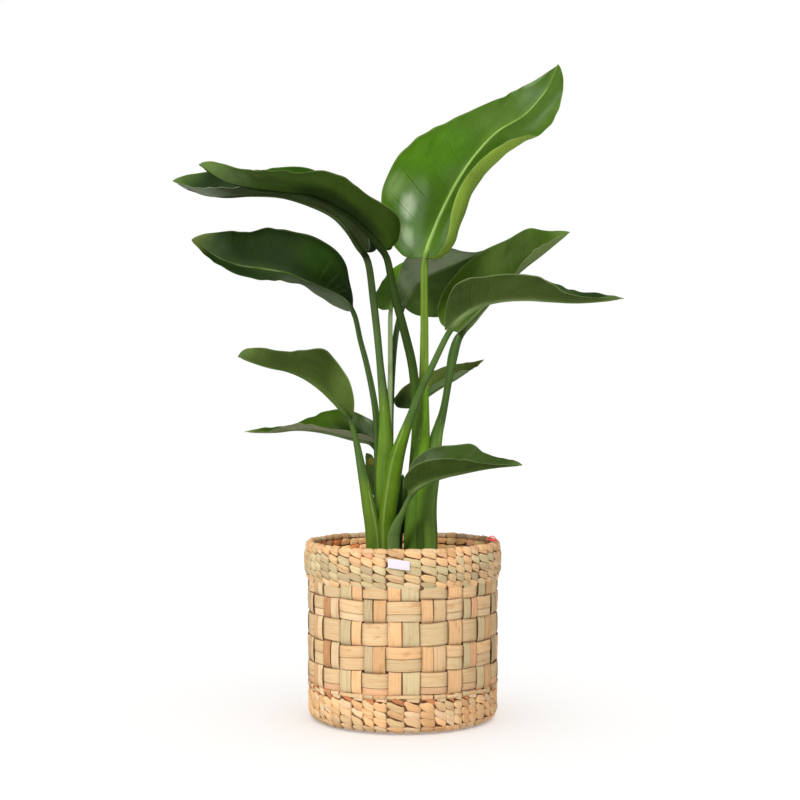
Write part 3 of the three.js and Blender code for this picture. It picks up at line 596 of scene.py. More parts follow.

# Leaves. A row of stalkPath is x, y, z, half width across and half width deep, from where the
# stalk leaves the soil up. ribPath is x, y, z from the base of the blade to its tip.
# roll turns the blade about its rib in degrees, at even steps along it. left and right hold the
# half's width at six even steps, then at five even steps its rise from the rib and its curl on
# the way to the margin, in degrees. wave is the margin's wave: depth, count and start.
# lobe is how far the halves reach back past the base.
# Colours have the photograph's brightness. upper and under are the two faces, with a colour for
# each half where they differ. foot is the sheath's lowest part, keel the rib's underside,
# collar the strength of the painted shade on the stalk under the blade, gloss the upper face's
# shine and streak the underside's lines. patches are soft spots laid over a face: some of the
# leaf's own colour, some painted highlights and sheen, some painted shade. Each is face, half
# (1 left, -1 right), place along, place across, size along, size across, colour, strength.
# creases are: half, millimetres along the rib, share of the width at both ends, strength.
# A leaf without any gets them at random.
leaves = {
    "leaf_right_front": {
        "stalkPath": ((-23, -21, 224, 12, 8), (-23, -23, 278, 13, 8.4), (-17, -27, 326, 13.5, 8.4),
            (-10, -31, 366, 12, 8), (0, -35, 398, 9, 7), (11, -39, 428, 6.6, 6), (25, -44, 464, 5.4, 5.4),
            (42, -50, 500, 5, 5), (61, -57, 539, 4.6, 4.6)),
        "ribPath": ((65, -59, 550), (79, -68, 565), (106, -82, 582), (139, -98, 588), (177, -114, 587),
            (216, -128, 582), (255, -140, 581), (294, -148, 585)),
        "left": ((28, 45, 52, 50, 36, 3), (40, 42, 35, 19, 42)),
        "right": ((5, 47, 51, 40, 18, 1), (95, 33, 43, 15, 65)), "wave": (3.2, 2.3, 0.5), "lobe": 14,
        "upper": ((40, 64, 22), (40, 62, 24)), "under": ((76, 96, 36), (74, 94, 34)), "rib": (128, 156, 84),
        "margin": (158, 172, 116), "stalk": (82, 110, 50), "sheath": (90, 124, 20), "keel": (116, 136, 78),
        "tip": (110, 136, 72), "streak": 0.2,
        "patches": (("under", -1, 0.1, 0.5, 0.1, 0.7, (58, 76, 30), 0.6),
            ("upper", 1, 0.55, 0.4, 0.2, 0.6, (84, 104, 60), 0.5)),
        "creases": ((-1, 22, 0.05, 0.95, 0.6), (-1, 44, 0.02, 0.9, 0.8), (-1, 66, 0.02, 0.8, 0.7),
            (-1, 96, 0.05, 0.7, 0.5), (-1, 130, 0.1, 0.7, 0.3), (1, 90, 0.1, 0.8, 0.3),
            (1, 150, 0.1, 0.8, 0.3)),
    },
    "leaf_lower_left": {
        "stalkPath": ((-40, -21, 245, 12.5, 8), (-48, -23, 302, 10.3, 7.2), (-57, -25, 348, 7.2, 6.2),
            (-65, -27, 389, 5, 4.6), (-73, -28, 418, 4, 4)),
        "ribPath": ((-75, -29, 427), (-91, -40, 445), (-113, -52, 466), (-137, -66, 482), (-164, -78, 492),
            (-193, -90, 497), (-225, -100, 509)),
        "left": ((5, 37, 46, 36, 27, 12), (6, 95, 60, 46, 95)),
        "right": ((20, 40, 42, 32, 20, 1), (60, 52, 40, 32, 30)), "wave": (2.2, 2, 0.6), "lobe": 10,
        "upper": (58, 90, 20), "under": ((77, 97, 36), (77, 95, 36)), "rib": (112, 138, 72),
        "margin": (150, 165, 110), "stalk": (78, 106, 48), "sheath": (97, 128, 36), "keel": (92, 114, 50),
        "tip": (104, 130, 70),
    },
    "leaf_low_right": {
        "stalkPath": ((-14, -37, 242, 10, 5.4), (-11, -40, 269, 8.6, 5), (-1, -45, 292, 4.8, 4.3),
            (7, -50, 310, 3.8, 3.8)),
        "ribPath": ((11, -55, 323), (31, -64, 336), (54, -76, 345), (81, -90, 351), (118, -106, 358),
            (161, -120, 362)),
        "roll": (15, 15, 12, 8, 0), "left": ((5, 52, 56, 36, 24, 4), (95, 32, 35, 15, 44)),
        "right": ((18, 34, 34, 26, 14, 1), (70, 62, 46, 26, 20)), "wave": (1.2, 1.7, 0), "lobe": 9,
        "upper": ((64, 86, 36), (62, 82, 32)), "under": ((71, 95, 33), (69, 91, 32)), "rib": (120, 146, 84),
        "margin": (146, 162, 110), "stalk": (92, 120, 58), "sheath": (98, 126, 66), "keel": (96, 116, 60),
        "tip": (96, 122, 66),
    },
    "leaf_back_centre": {
        "stalkPath": ((-21, 2, 261, 5.2, 5.2), (-20, 2, 353, 5, 5), (-19, 4, 421, 4.4, 4.4),
            (-18, 10, 479, 3.8, 3.8), (-18, 15, 529, 3.6, 3.6), (-18, 20, 568, 3.4, 3.4)),
        "ribPath": ((-18, 28, 582), (-14, 74, 601), (2, 112, 623), (23, 148, 644), (55, 180, 662),
            (93, 208, 679)),
        "left": ((18, 28, 32, 30, 20, 1), (10, 20, 30, 35, 30)),
        "right": ((4, 12, 28, 30, 20, 1), (10, 20, 30, 35, 30)), "wave": (1.4, 1.6, 0.5), "lobe": 12,
        "upper": (91, 135, 27), "under": ((112, 146, 62), (108, 142, 60)), "rib": (150, 180, 90),
        "margin": (150, 175, 90), "stalk": (150, 170, 118), "sheath": (120, 146, 90), "keel": (140, 165, 96),
        "tip": (110, 146, 60),
    },
    "leaf_upper_left_back": {
        "stalkPath": ((-26, -3, 243, 15, 10), (-24, -3, 350, 14.5, 10), (-25, 2, 425, 9, 8.4),
            (-32, 7, 500, 5.8, 5.8), (-36.5, 10, 546, 5.8, 5.6), (-42, 14, 594, 5.9, 5.6),
            (-50, 17, 649, 5.4, 5)),
        "ribPath": ((-56, 18, 663), (-76, 28, 695), (-103, 42, 722), (-142, 58, 740), (-193, 76, 754),
            (-248, 92, 754), (-296, 102, 756), (-346, 110, 779)),
        "left": ((26, 46, 48, 44, 34, 1), (55, 32, 14, 12, 14)),
        "right": ((31, 47, 56, 61, 69, 11), (45, 38, 35, 35, 58)), "wave": (2.5, 2.2, 0.4), "lobe": 12,
        "upper": (42, 62, 30), "under": ((66, 80, 42), (52, 68, 26)), "rib": (110, 140, 70),
        "margin": (186, 198, 160), "stalk": (86, 110, 58), "sheath": (99, 133, 35), "keel": (70, 88, 42),
        "tip": (110, 140, 64), "collar": 1.6, "streak": 0.6,
        "patches": (("under", 1, 0.86, 0.5, 0.14, 0.7, (136, 146, 124), 0.7),),
    },
    "leaf_left": {
        "stalkPath": ((-36, 5, 242, 6.8, 6.8), (-35, 5, 335, 6.8, 6.8), (-36, 6, 393, 6, 6),
            (-39, 6, 434, 5, 5), (-45, 8, 470, 4.6, 4.6), (-53, 9, 506, 4.3, 4.3), (-61, 11, 536, 4, 4),
            (-69, 12, 571, 3.8, 3.8)),
        "ribPath": ((-72, 13, 584), (-89, 20, 599), (-113, 29, 611), (-141, 40, 623), (-171, 51, 636),
            (-207, 62, 643), (-243, 72, 649), (-277, 80, 663), (-313, 86, 689)),
        "roll": (-45, -45, -42, -38, -30),
        "left": ((14, 32, 20, 24, 17, 12), (-9, 43, -1, 21, 23), (-19, -15, -23, -17, 4)),
        "right": ((41, 80, 71, 70, 51, 8), (-45, 6, 32, 24, 61), (-80, -11, -27, -7, 8)),
        "wave": (2.4, 2, 0.1), "lobe": 9, "upper": ((26, 50, 0), (25, 48, 0)),
        "under": ((134, 152, 110), (130, 148, 106)), "rib": (70, 100, 26), "margin": (140, 156, 92),
        "stalk": (74, 100, 48), "sheath": (84, 118, 60), "keel": (104, 122, 76), "tip": (150, 160, 80),
        "gloss": 0.1,
        # Its first spot is a painted sheen and the four thin ones are painted highlights
        "patches": (("upper", 1, 0.16, 0.6, 0.24, 0.8, (124, 138, 108), 0.7),
            ("upper", -1, 0.2, 0.55, 0.2, 0.5, (50, 84, 14), 0.7),
            ("upper", -1, 0.115, 0.3, 0.007, 0.26, (104, 126, 82), 0.25),
            ("upper", -1, 0.145, 0.3, 0.006, 0.22, (104, 126, 82), 0.2),
            ("upper", -1, 0.185, 0.34, 0.007, 0.28, (104, 126, 82), 0.25),
            ("upper", -1, 0.24, 0.4, 0.006, 0.3, (104, 126, 82), 0.17),
            ("upper", -1, 0.9, 0.4, 0.1, 0.6, (66, 92, 50), 0.5)),
    },
    "leaf_back_right": {
        "stalkPath": ((-20, 15, 249, 6.5, 6.5), (-19, 15, 349, 5.9, 5.9), (-18, 18, 428, 5.1, 5.1),
            (-15, 25, 493, 4.7, 4.7), (-11, 33, 537, 4.4, 4.4), (-5, 40, 569, 4.1, 4.1)),
        "ribPath": ((0, 46, 587), (12, 65, 609), (32, 86, 631), (62, 112, 647), (99, 140, 666),
            (144, 166, 687)),
        "roll": (50, 55, 55, 45, 25), "left": ((8, 32, 47, 39, 5, 1), (0, 3, -18, 6, 14)),
        "right": ((36, 70, 74, 62, 34, 1), (-6, -8, 0, 5, 10), (-10, -20, -20, -10, 0)),
        "wave": (1.8, 1.8, 0.7), "lobe": 6, "upper": ((60, 92, 30), (56, 86, 28)),
        "under": ((124, 136, 106), (118, 130, 100)), "rib": (150, 170, 110), "margin": (140, 156, 100),
        "stalk": (74, 98, 50), "sheath": (84, 112, 60), "keel": (110, 122, 84), "tip": (100, 124, 70),
        # The first spot is a painted sheen
        "patches": (("upper", 1, 0.5, 0.45, 0.36, 0.8, (166, 178, 146), 0.95),
            ("upper", -1, 0.3, 0.5, 0.34, 0.7, (84, 108, 46), 0.8)),
    },
    "leaf_low_left_back": {
        "stalkPath": ((-31, 18, 241, 5.4, 5.4), (-32, 20, 327, 4.4, 4.4), (-36, 22, 371, 3.7, 3.7)),
        "ribPath": ((-39, 23, 388), (-77, 36, 396), (-115, 48, 404), (-154, 60, 407), (-196, 72, 402),
            (-234, 80, 403)),
        "roll": (-15, -15, -10, -5, 0), "left": ((18, 32, 30, 20, 10, 1), (40, 34, 28, 20, 20)),
        "right": ((27, 40, 36, 26, 34, 1), (40, 56, 24, 11, 18)), "wave": (1.8, 1.8, 0.2), "lobe": 9,
        "upper": (60, 88, 12), "under": ((134, 140, 104), (127, 136, 98)), "rib": (130, 160, 80),
        "margin": (150, 170, 104), "stalk": (76, 102, 48), "sheath": (88, 120, 60), "keel": (120, 136, 90),
        "tip": (130, 150, 70),
    },
    "leaf_short_left": {
        "stalkPath": ((-30, 27, 219, 3.8, 3.8), (-31, 28, 269, 3, 3)),
        "ribPath": ((-33, 29, 279), (-38, 31, 305), (-45, 34, 334), (-53, 40, 373)),
        "left": ((14, 24, 26, 22, 14, 3), (30, 20, 10, 10, 10), (10, 10, 10, 0, 0)),
        "right": ((10, 17, 22, 24, 24, 13), (20, 10, 0, 0, 0), (20, 20, 20, 0, 0)), "wave": (0.8, 1.5, 0),
        "lobe": 4, "upper": (108, 140, 44), "under": (70, 100, 34), "rib": (96, 122, 60),
        "margin": (110, 130, 70), "stalk": (76, 104, 54), "sheath": (76, 104, 54), "keel": (80, 108, 56),
        "tip": (90, 110, 50), "patches": (("upper", -1, 0.86, 0.45, 0.06, 0.5, (200, 176, 64), 0.8),),
    },
    "leaf_short_middle": {
        "stalkPath": ((-5, 13, 209, 3.8, 3.8), (-3, 14, 249, 3, 3)),
        "ribPath": ((-3, 15, 260), (-1, 17, 286), (1, 19, 312), (0, 24, 343)),
        "left": ((9, 15, 14, 10, 6, 1), (35, 30, 25, 20, 20)),
        "right": ((9, 15, 14, 10, 6, 1), (30, 25, 20, 20, 20)), "wave": (0.5, 1.5, 0.3), "lobe": 4,
        "upper": (66, 94, 48), "under": (72, 102, 52), "rib": (110, 136, 76), "margin": (130, 150, 96),
        "stalk": (84, 112, 60), "sheath": (84, 112, 60), "keel": (92, 120, 66), "tip": (96, 118, 60),
    },
    "leaf_tall_bright": {
        "stalkPath": ((25, -5, 243, 17, 14), (26, -8, 345, 15, 13.5), (27.5, -2, 415, 11.5, 11.5),
            (30, 4, 478, 7.2, 7), (31, 9, 550, 6, 6), (31, 13, 640, 5.2, 5.2)),
        "ribPath": ((31, 15, 656), (50, 34, 708), (74, 52, 759), (104, 70, 807), (142, 88, 850),
            (186, 102, 880), (215, 108, 914), (233, 104, 953)),
        "roll": (62, 68, 70, 62, 45),
        "left": ((45, 105, 105, 70, 45, 1), (-13, 6, -36, -15, -5), (-1, -55, 5, -10, 25)),
        "right": ((84, 76, 68, 70, 41, 8), (-19, -26, -27, -29, -17), (151, 204, 169, 88, -7)),
        "wave": (1.5, 2.2, 0.3), "lobe": 16, "upper": (64, 103, 6),
        "under": ((118, 148, 46), (126, 156, 52)), "rib": (140, 176, 66), "margin": (140, 160, 80),
        "stalk": (118, 148, 48), "sheath": (111, 156, 33), "keel": (150, 185, 90), "tip": (84, 112, 40),
        "foot": (58, 84, 34), "gloss": 0.65, "streak": 0.3,
        # The first four spots are painted highlights
        "patches": (("upper", 1, 0.217, 0.8, 0.05, 0.16, (134, 162, 98), 0.5),
            ("upper", 1, 0.167, 0.5, 0.042, 0.11, (190, 206, 172), 0.6),
            ("upper", 1, 0.072, 0.5, 0.034, 0.13, (176, 196, 150), 0.5),
            ("upper", 1, 0.9, 0.9, 0.07, 0.14, (150, 172, 126), 0.45),
            ("upper", 1, 0.42, 0.55, 0.13, 0.42, (74, 122, 14), 0.6),
            ("upper", 1, 0.72, 0.45, 0.16, 0.75, (80, 108, 40), 0.7),
            ("upper", -1, 0.8, 0.4, 0.2, 0.7, (84, 112, 42), 0.6),
            ("upper", 1, 0.19, 0.2, 0.1, 0.2, (50, 86, 2), 0.7)),
        "creases": ((1, 37, 0.3, 0.95, 0.9), (1, 70, 0.2, 0.85, 1.0), (1, 110, 0.1, 0.62, 0.6),
            (1, 153, 0.05, 0.7, 0.6), (1, 205, 0.1, 0.5, 0.25), (-1, 60, 0.1, 0.6, 0.3),
            (-1, 120, 0.1, 0.7, 0.3), (-1, 190, 0.1, 0.7, 0.3)),
    },
    "leaf_upper_left_front": {
        "stalkPath": ((15, -7, 250, 14, 10.5), (18, -9, 330, 12, 10), (20, -9, 400, 8, 8),
            (19.5, -15, 443, 7.6, 7.4), (14, -19, 498, 7, 6.8), (2, -23, 549, 6.6, 6.4),
            (-13, -26, 605, 6.1, 6.1), (-22, -28, 649, 5.4, 5.4)),
        "ribPath": ((-25, -29, 661), (-52, -40, 691), (-79, -52, 711), (-123, -70, 732), (-163, -86, 735),
            (-208, -100, 739), (-245, -110, 748), (-276, -116, 768)),
        "left": ((63, 39, 76, 83, 36, 8), (95, 43, 17, 25, 75), (64, 4, -15, -5, 18)),
        "right": ((30, 50, 54, 52, 40, 1), (50, 48, 46, 42, 38)), "wave": (3, 2.3, 0), "lobe": 15,
        "upper": (46, 80, 12), "under": ((56, 82, 10), (50, 74, 8)), "rib": (120, 150, 70),
        "margin": (140, 160, 90), "stalk": (50, 70, 24), "sheath": (90, 126, 38), "keel": (38, 54, 14),
        "tip": (120, 150, 70),
        # The dark keel and the first, dark spot by the rib are painted shade along the fold
        "patches": (("under", 1, 0.3, 0.1, 0.26, 0.3, (24, 38, 8), 0.75),
            ("under", 1, 0.5, 0.75, 0.32, 0.3, (74, 100, 30), 0.5),
            ("under", 1, 0.86, 0.4, 0.12, 0.6, (100, 124, 72), 0.55)),
    },
    "leaf_right_upper": {
        "stalkPath": ((38, -7, 243, 12, 14), (35, -9, 300, 14, 15), (42, -4, 350, 12, 12.5),
            (47, 3, 395, 10, 9.5), (56, 10, 426, 6.4, 6), (61, 12, 449, 5.4, 5.4), (66, 15, 479, 5.6, 5.2),
            (72, 19, 513, 7.6, 5.6), (79, 21, 537, 6.6, 5)),
        "ribPath": ((81, 23, 547), (98, 34, 563), (119, 50, 587), (148, 68, 618), (179, 86, 646),
            (215, 102, 673), (252, 116, 703)),
        "roll": (12, 16, 16, 14, 8),
        "left": ((47, 65, 62, 47, 40, 12), (35, 33, 64, 60, 12), (0, 0, 5, 6, 16)),
        "right": ((26, 44, 42, 36, 24, 1), (36, 34, 30, 30, 25), (0, 0, 20, 46, 60)), "wave": (2.2, 2, 0.9),
        "lobe": 13, "upper": ((68, 96, 22), (68, 94, 26)), "under": ((112, 134, 72), (110, 130, 70)),
        "rib": (132, 164, 84), "margin": (150, 168, 108), "stalk": (76, 104, 48), "sheath": (97, 131, 50),
        "keel": (112, 130, 74), "tip": (110, 140, 74), "streak": 0.3,
        "patches": (("upper", 1, 0.6, 0.6, 0.25, 0.6, (92, 116, 52), 0.5),),
        "creases": ((1, 30, 0.1, 0.7, 0.3), (1, 62, 0.1, 0.9, 0.35), (1, 92, 0.1, 0.8, 0.25),
            (1, 126, 0.1, 0.85, 0.35), (1, 160, 0.2, 0.8, 0.25), (-1, 70, 0.1, 0.7, 0.25),
            (-1, 130, 0.1, 0.7, 0.25)),
    },
    "leaf_back_small": {
        "stalkPath": ((28, 19, 263, 4.9, 4.9), (25, 22, 326, 4.4, 4.4), (20, 25, 384, 3.8, 3.8),
            (15, 28, 427, 3.5, 3.5)),
        "ribPath": ((14, 30, 438), (31, 52, 454), (57, 76, 470), (87, 100, 486), (123, 124, 511)),
        "roll": (-10, -5, 10, 20, 20), "left": ((34, 40, 36, 26, 14, 1), (30, 30, 30, 30, 20)),
        "right": ((28, 34, 34, 26, 14, 1), (20, 30, 40, 40, 30)), "wave": (1.4, 1.6, 0.1), "lobe": 12,
        "upper": (103, 119, 53), "under": ((112, 138, 84), (110, 136, 82)), "rib": (140, 166, 94),
        "margin": (150, 170, 104), "stalk": (92, 118, 54), "sheath": (96, 128, 62), "keel": (110, 130, 70),
        "tip": (116, 146, 74),
        # Both dark spots at the base are painted shade
        "patches": (("upper", 1, 0.04, 0.5, 0.16, 0.9, (34, 54, 18), 0.9),
            ("upper", -1, 0.04, 0.5, 0.12, 0.9, (34, 54, 18), 0.8)),
    },
}
blade = {
    "rows": 170, "lean": 0.25, "narrowest": 0.5, "base": 0.09, "point": 0.05, "thickness": 0.75,
    "veinSlant": 0.42, "crease": 0.7, "creaseReach": 3.6, "dents": 0.85, "ripple": 0.9, "channel": 0.8,
    "channelReach": 2.4,
    # places of the points between the margin and the rib
    "across": (
        1, 0.985, 0.95, 0.9, 0.82, 0.74, 0.66, 0.58, 0.5, 0.42, 0.34, 0.26, 0.19, 0.13, 0.08, 0.04, 0.015,
    ),
}
leafLook = {
    "veinPitch": 7.4, "finePitch": 1.9, "veinLight": 0.18, "fineVein": 0.14, "mottle": 0.3, "shine": 0.14,
    "creaseShade": 0.75, "creaseHighlight": 0.55, "light": (1.65, 1.5, 1.6), "deep": (0.5, 0.55, 0.45),
}


# Leaf skin: faint slanting veins, single creases with painted shade in them and a painted highlight beside
# them, mottling, gloss above and a matt underside
def makeLeafSkin():
    skin = Finish("leaf_skin")
    tone = skin.field("tone")["Color"]
    gloss, vein, streak = skin.parts("detail")
    gap, crease, _ = skin.parts("fold")
    flat = skin.stretched(0.035, 0.05)
    cloud = skin.noise(flat, 1.0, 3.0)
    uneven = skin.times(skin.noise(flat, 2.6), 5.0)
    patchy = skin.times(vein, skin.spread(skin.noise(flat, 1.9, 1.0), 0.32, 0.6))

    def ridges(pitch, low):
        turns = skin.calc("ADD", skin.times(skin.parts("place")[0], 2 * math.pi / pitch), uneven)
        return skin.times(skin.spread(skin.calc("SINE", turns), low, 1.0), patchy)

    def besideCrease(centre, inner, outer):
        away = skin.calc("ABSOLUTE", skin.calc("SUBTRACT", gap, centre))
        return skin.times(crease, skin.spread(away, inner, outer, 1.0, 0.0))
    mainVein, fineVein = ridges(leafLook["veinPitch"], 0.6), ridges(leafLook["finePitch"], 0.0)
    # Painted shade along each crease and a painted highlight on the ridge beside it
    line, ridge = besideCrease(0.0, 0.3, 0.9), besideCrease(1.3, 0.2, 1.1)
    lines = skin.noise(skin.stretched(0.02, 0.9), 1.0, 3.0)
    light, deep = (skin.mix(1.0, tone, leafLook[key], "MULTIPLY") for key in ("light", "deep"))
    colour = skin.layers(
        tone,
        (skin.spread(cloud, 0.5, 0.78, 0.0, leafLook["mottle"]), light),
        (skin.spread(cloud, 0.5, 0.22, 0.0, leafLook["mottle"] + 0.2), deep),
        (skin.times(mainVein, leafLook["veinLight"]), light),
        (skin.times(fineVein, leafLook["fineVein"]), deep),
        (skin.times(line, leafLook["creaseShade"]), deep),
        (skin.times(ridge, leafLook["creaseHighlight"]), light),
        (skin.times(skin.spread(lines, 0.55, 0.8), streak), light),
        (skin.times(skin.spread(lines, 0.46, 0.25), streak), deep),
    )
    relief = skin.calc("ADD", skin.times(mainVein, 0.2), skin.times(lines, streak))
    relief = skin.calc("SUBTRACT", skin.calc("ADD", relief, skin.times(cloud, 1.6)), skin.times(line, 1.2))
    skin.set(Base_Color=colour, Specular_IOR_Level=leafLook["shine"], Normal=skin.bump(relief, 0.6, 0.0006))
    skin.set(Roughness=skin.calc("ADD", skin.spread(gloss, 0.0, 1.0, 0.66, 0.26), skin.times(cloud, 0.1)))
    return skin.block


leafSkin = makeLeafSkin()


# Centre, direction, left side and upper side of the blade along its rib, and the rib's length
def ribFrames(leaf, u):
    steps = np.linspace(0, 1, 400)
    gaps = np.linalg.norm(np.diff(valueAt(leaf["ribPath"], steps), axis=0), axis=1)
    run = np.append(0, np.cumsum(gaps))
    centre = valueAt(leaf["ribPath"], np.interp(steps * run[-1], run, steps))
    heading = np.subtract(leaf["ribPath"][-1], leaf["ribPath"][0]) * (1.0, 1.0, 0.0)
    level = np.cross([0, 0, 1.0], unit(heading))
    along = unit(np.gradient(centre, axis=0))
    flatSide = unit(level - (along @ level)[:, None] * along)
    flatUp = np.cross(along, flatSide)
    roll = np.radians(valueAt(leaf.get("roll", (0, 0)), steps))[:, None]
    side = np.cos(roll) * flatSide + np.sin(roll) * flatUp
    up = np.cos(roll) * flatUp - np.sin(roll) * flatSide
    pick = lambda field: np.stack([np.interp(u, steps, line) for line in field.T], axis=-1)
    return pick(centre), unit(pick(along)), unit(pick(side)), unit(pick(up)), run[-1]


# Points of a half of the blade at shares u along the rib and v from the rib to the margin
def halfGrid(leaf, u, v, hand):
    centre, along, side, up, length = ribFrames(leaf, u)
    widths, *bends = leaf["left" if hand > 0 else "right"]
    rounded = lambda share, part: np.sqrt(1 - (1 - np.clip(share / part, 0, 1)) ** 2)
    shoulder = rounded(u, blade["base"]) * rounded(1 - u, blade["point"])
    width = np.maximum(valueAt(widths, u) * shoulder, blade["narrowest"])[:, None]
    rise, curl = (np.radians(valueAt(bend, u))[:, None] for bend in (*bends, (0, 0))[:2])
    curl = np.where(np.abs(curl) < 0.001, 0.001, curl)
    swell = np.sin(math.pi * u)[:, None]
    depth, count, start = leaf["wave"]
    phase = 2 * math.pi * (count * u + start) + (0 if hand > 0 else 1.3)
    out = width * (np.sin(rise + curl * v) - np.sin(rise)) / curl
    lift = width * (np.cos(rise) - np.cos(rise + curl * v)) / curl
    lift = lift + depth * v ** 2 * np.sin(phase)[:, None] * np.sqrt(np.maximum(swell, 0))
    ahead = blade["lean"] * width * v * swell
    ahead = ahead - leaf["lobe"] * v * ((1 - u) ** 10 * np.minimum(shoulder * 1.6, 1))[:, None]
    grid = centre[:, None] + side[:, None] * (hand * out)[..., None]
    return grid + up[:, None] * lift[..., None] + along[:, None] * ahead[..., None], width * v, length


# Creases along single veins: distance to the nearest, its strength, and a tone for every zone between
def creaseField(leaf, rng, length, share, hand, vein):
    gap, power, zone = np.full(vein.shape, 99.0), np.zeros(vein.shape), np.ones(vein.shape)
    own = leaf.get("creases", ())
    for side in (1, -1):
        marks = [mark[1:] for mark in own if mark[0] == side]
        place = rng.uniform(12, 30)
        while not own and place < 0.93 * length:
            marks.append((place, rng.uniform(0.03, 0.3), rng.uniform(0.6, 0.96), rng.uniform(0.1, 0.5)))
            place += rng.uniform(15, 42)
        for start, low, high, strength in marks:
            here = (hand == side) & (np.abs(vein - start) < np.abs(gap))
            ends = smoothStep(share, low, low + 0.15) * (1 - smoothStep(share, high - 0.2, high))
            gap = np.where(here, vein - start, gap)
            power = np.where(here, strength * ends, power)
            zone = np.where((hand == side) & (vein > start), rng.uniform(0.94, 1.07), zone)
    return gap, power, zone


# Colours of one face; u runs along the rib, share to the margin and far is the distance to the rib
def faceTones(leaf, face, u, share, hand, far, zone):
    upper = face == "upper"
    left, right = np.broadcast_to(paint(leaf[face]), (2, 3))
    cloud = 0.06 * np.sin(u * 9 + 1) * np.cos(share * 5) + 0.05 * np.sin(far / 14 + u * 5)
    tone = np.where((hand > 0)[:, None], left, right) * (zone + cloud)[..., None]
    rib = 1 - smoothStep(far, 0.6 + 1.1 * (1 - u), 1.3 + 2.3 * (1 - u))
    ribShare = 0.85 - 0.5 * smoothStep(u, 0.62, 0.9) * upper
    for key, cover in (
        ("tip", 0.6 * smoothStep(u, 0.86, 1.0)),
        ("rib" if upper else "keel", ribShare * rib),
        ("keel", 0.14 * ((1 - smoothStep(far, 2.0, 14.0)) * (1 - 0.6 * u))),
        ("margin", (0.3 if upper else 0.6) * smoothStep(share, 0.955, 0.99)),
    ):
        tone = blendTo(tone, paint(leaf[key]), cover)
    # Soft spots: some of the leaf's own colour, some painted highlights and sheen, some painted shade
    for patchFace, side, along, across, sizeAlong, sizeAcross, colour, strength in leaf.get("patches", ()):
        if patchFace == face:
            gap = ((u - along) / sizeAlong) ** 2 + ((share - across) / sizeAcross) ** 2
            tone = blendTo(tone, paint(colour), strength * (np.exp(-gap ** 2) * (hand == side)))
    return tone


# Blade with its small forms: creases, soft dents, a rippled margin and a channel at the rib
def addBlade(shape, leaf, seed):
    rng = np.random.default_rng(seed)
    u = np.linspace(0, 1, blade["rows"]) ** 1.2
    v = np.array(blade["across"])
    left, leftFar, length = halfGrid(leaf, u, v, 1)
    right, rightFar, _ = halfGrid(leaf, u, np.append(0, v[::-1]), -1)
    grid, far = np.concatenate([left, right], axis=1), np.concatenate([leftFar, rightFar], axis=1)
    share = np.concatenate([v, [0], v[::-1]])
    hand = np.repeat([1.0, -1.0], [len(v), len(v) + 1])
    normal = unit(np.cross(np.gradient(grid, axis=0), np.gradient(grid, axis=1)))
    middle = len(u) // 2
    if np.sum(normal[middle, len(v)] * ribFrames(leaf, u)[3][middle]) < 0:
        normal = -normal
    u = u[:, None]
    vein = u * length - blade["veinSlant"] * far
    gap, power, zone = creaseField(leaf, rng, length, share, hand, vein)
    inside = np.clip(far / 9, 0, 1) * (1 - share ** 8)
    pleat = -blade["crease"] * power * np.exp(-(gap / blade["creaseReach"]) ** 2) * inside
    swing = rng.uniform(0, 6, 6)
    dents = np.sin(vein / 17 + 1.4 * np.sin(far / 19 + swing[0]) + swing[1]) * np.sin(far / 11 + swing[2])
    dents = dents + 0.7 * np.sin(vein / 9.3 + swing[3]) * np.sin(far / 23 + vein / 41 + swing[4])
    pleat = pleat + blade["dents"] * dents * inside * np.clip(far / 18, 0, 1)
    turns = u * length / rng.uniform(30, 38) + np.where(hand > 0, 0, rng.uniform(0.2, 0.8))
    turns = turns + 0.25 * np.sin(u * 17 + rng.uniform(0, 6))
    ripple = blade["ripple"] * share ** 4 * np.sin(2 * math.pi * turns) * np.sin(math.pi * u) ** 0.5
    channel = -blade["channel"] * np.exp(-(far / blade["channelReach"]) ** 2) * (1 - u)
    grid = grid + normal * (pleat + ripple + channel)[..., None]
    skin = normal * (blade["thickness"] * (1 - 0.55 * share ** 2)[:, None]) / 2
    onRib = 1 - smoothStep(far, 1.5, 4.5)
    veins = (1 - onRib) * (1 - smoothStep(share, 0.9, 0.98))
    upperDetail = together(leaf.get("gloss", 0.85), 0.8 * veins, 0.15 * onRib)
    underDetail = together(0.2, veins, leaf.get("streak", 0.2))
    shape.addSheet(
        grid + skin, grid - skin,
        [faceTones(leaf, face, u, share, hand, far, zone) for face in ("upper", "under")],
        together(vein, far * hand, 3.7 * seed), [upperDetail, underDetail], together(gap, power, 0),
    )


# A sheath is where the stalk is wide and far enough below the blade; opening is half the gap
# between its edges, of a stalk and what a sheath adds, in degrees.
stalk = {
    "start": 135.0, "sides": 28, "step": 6.0, "buried": 178.0, "channel": 0.26, "tipRadius": 0.5,
    "sink": 0.78, "sheathWidths": (6.6, 8.6), "sheathDistances": (40, 120), "opening": (30, 60),
    "footHeights": (245, 350), "edge": (178, 194, 132), "edgeCover": 0.6,
}


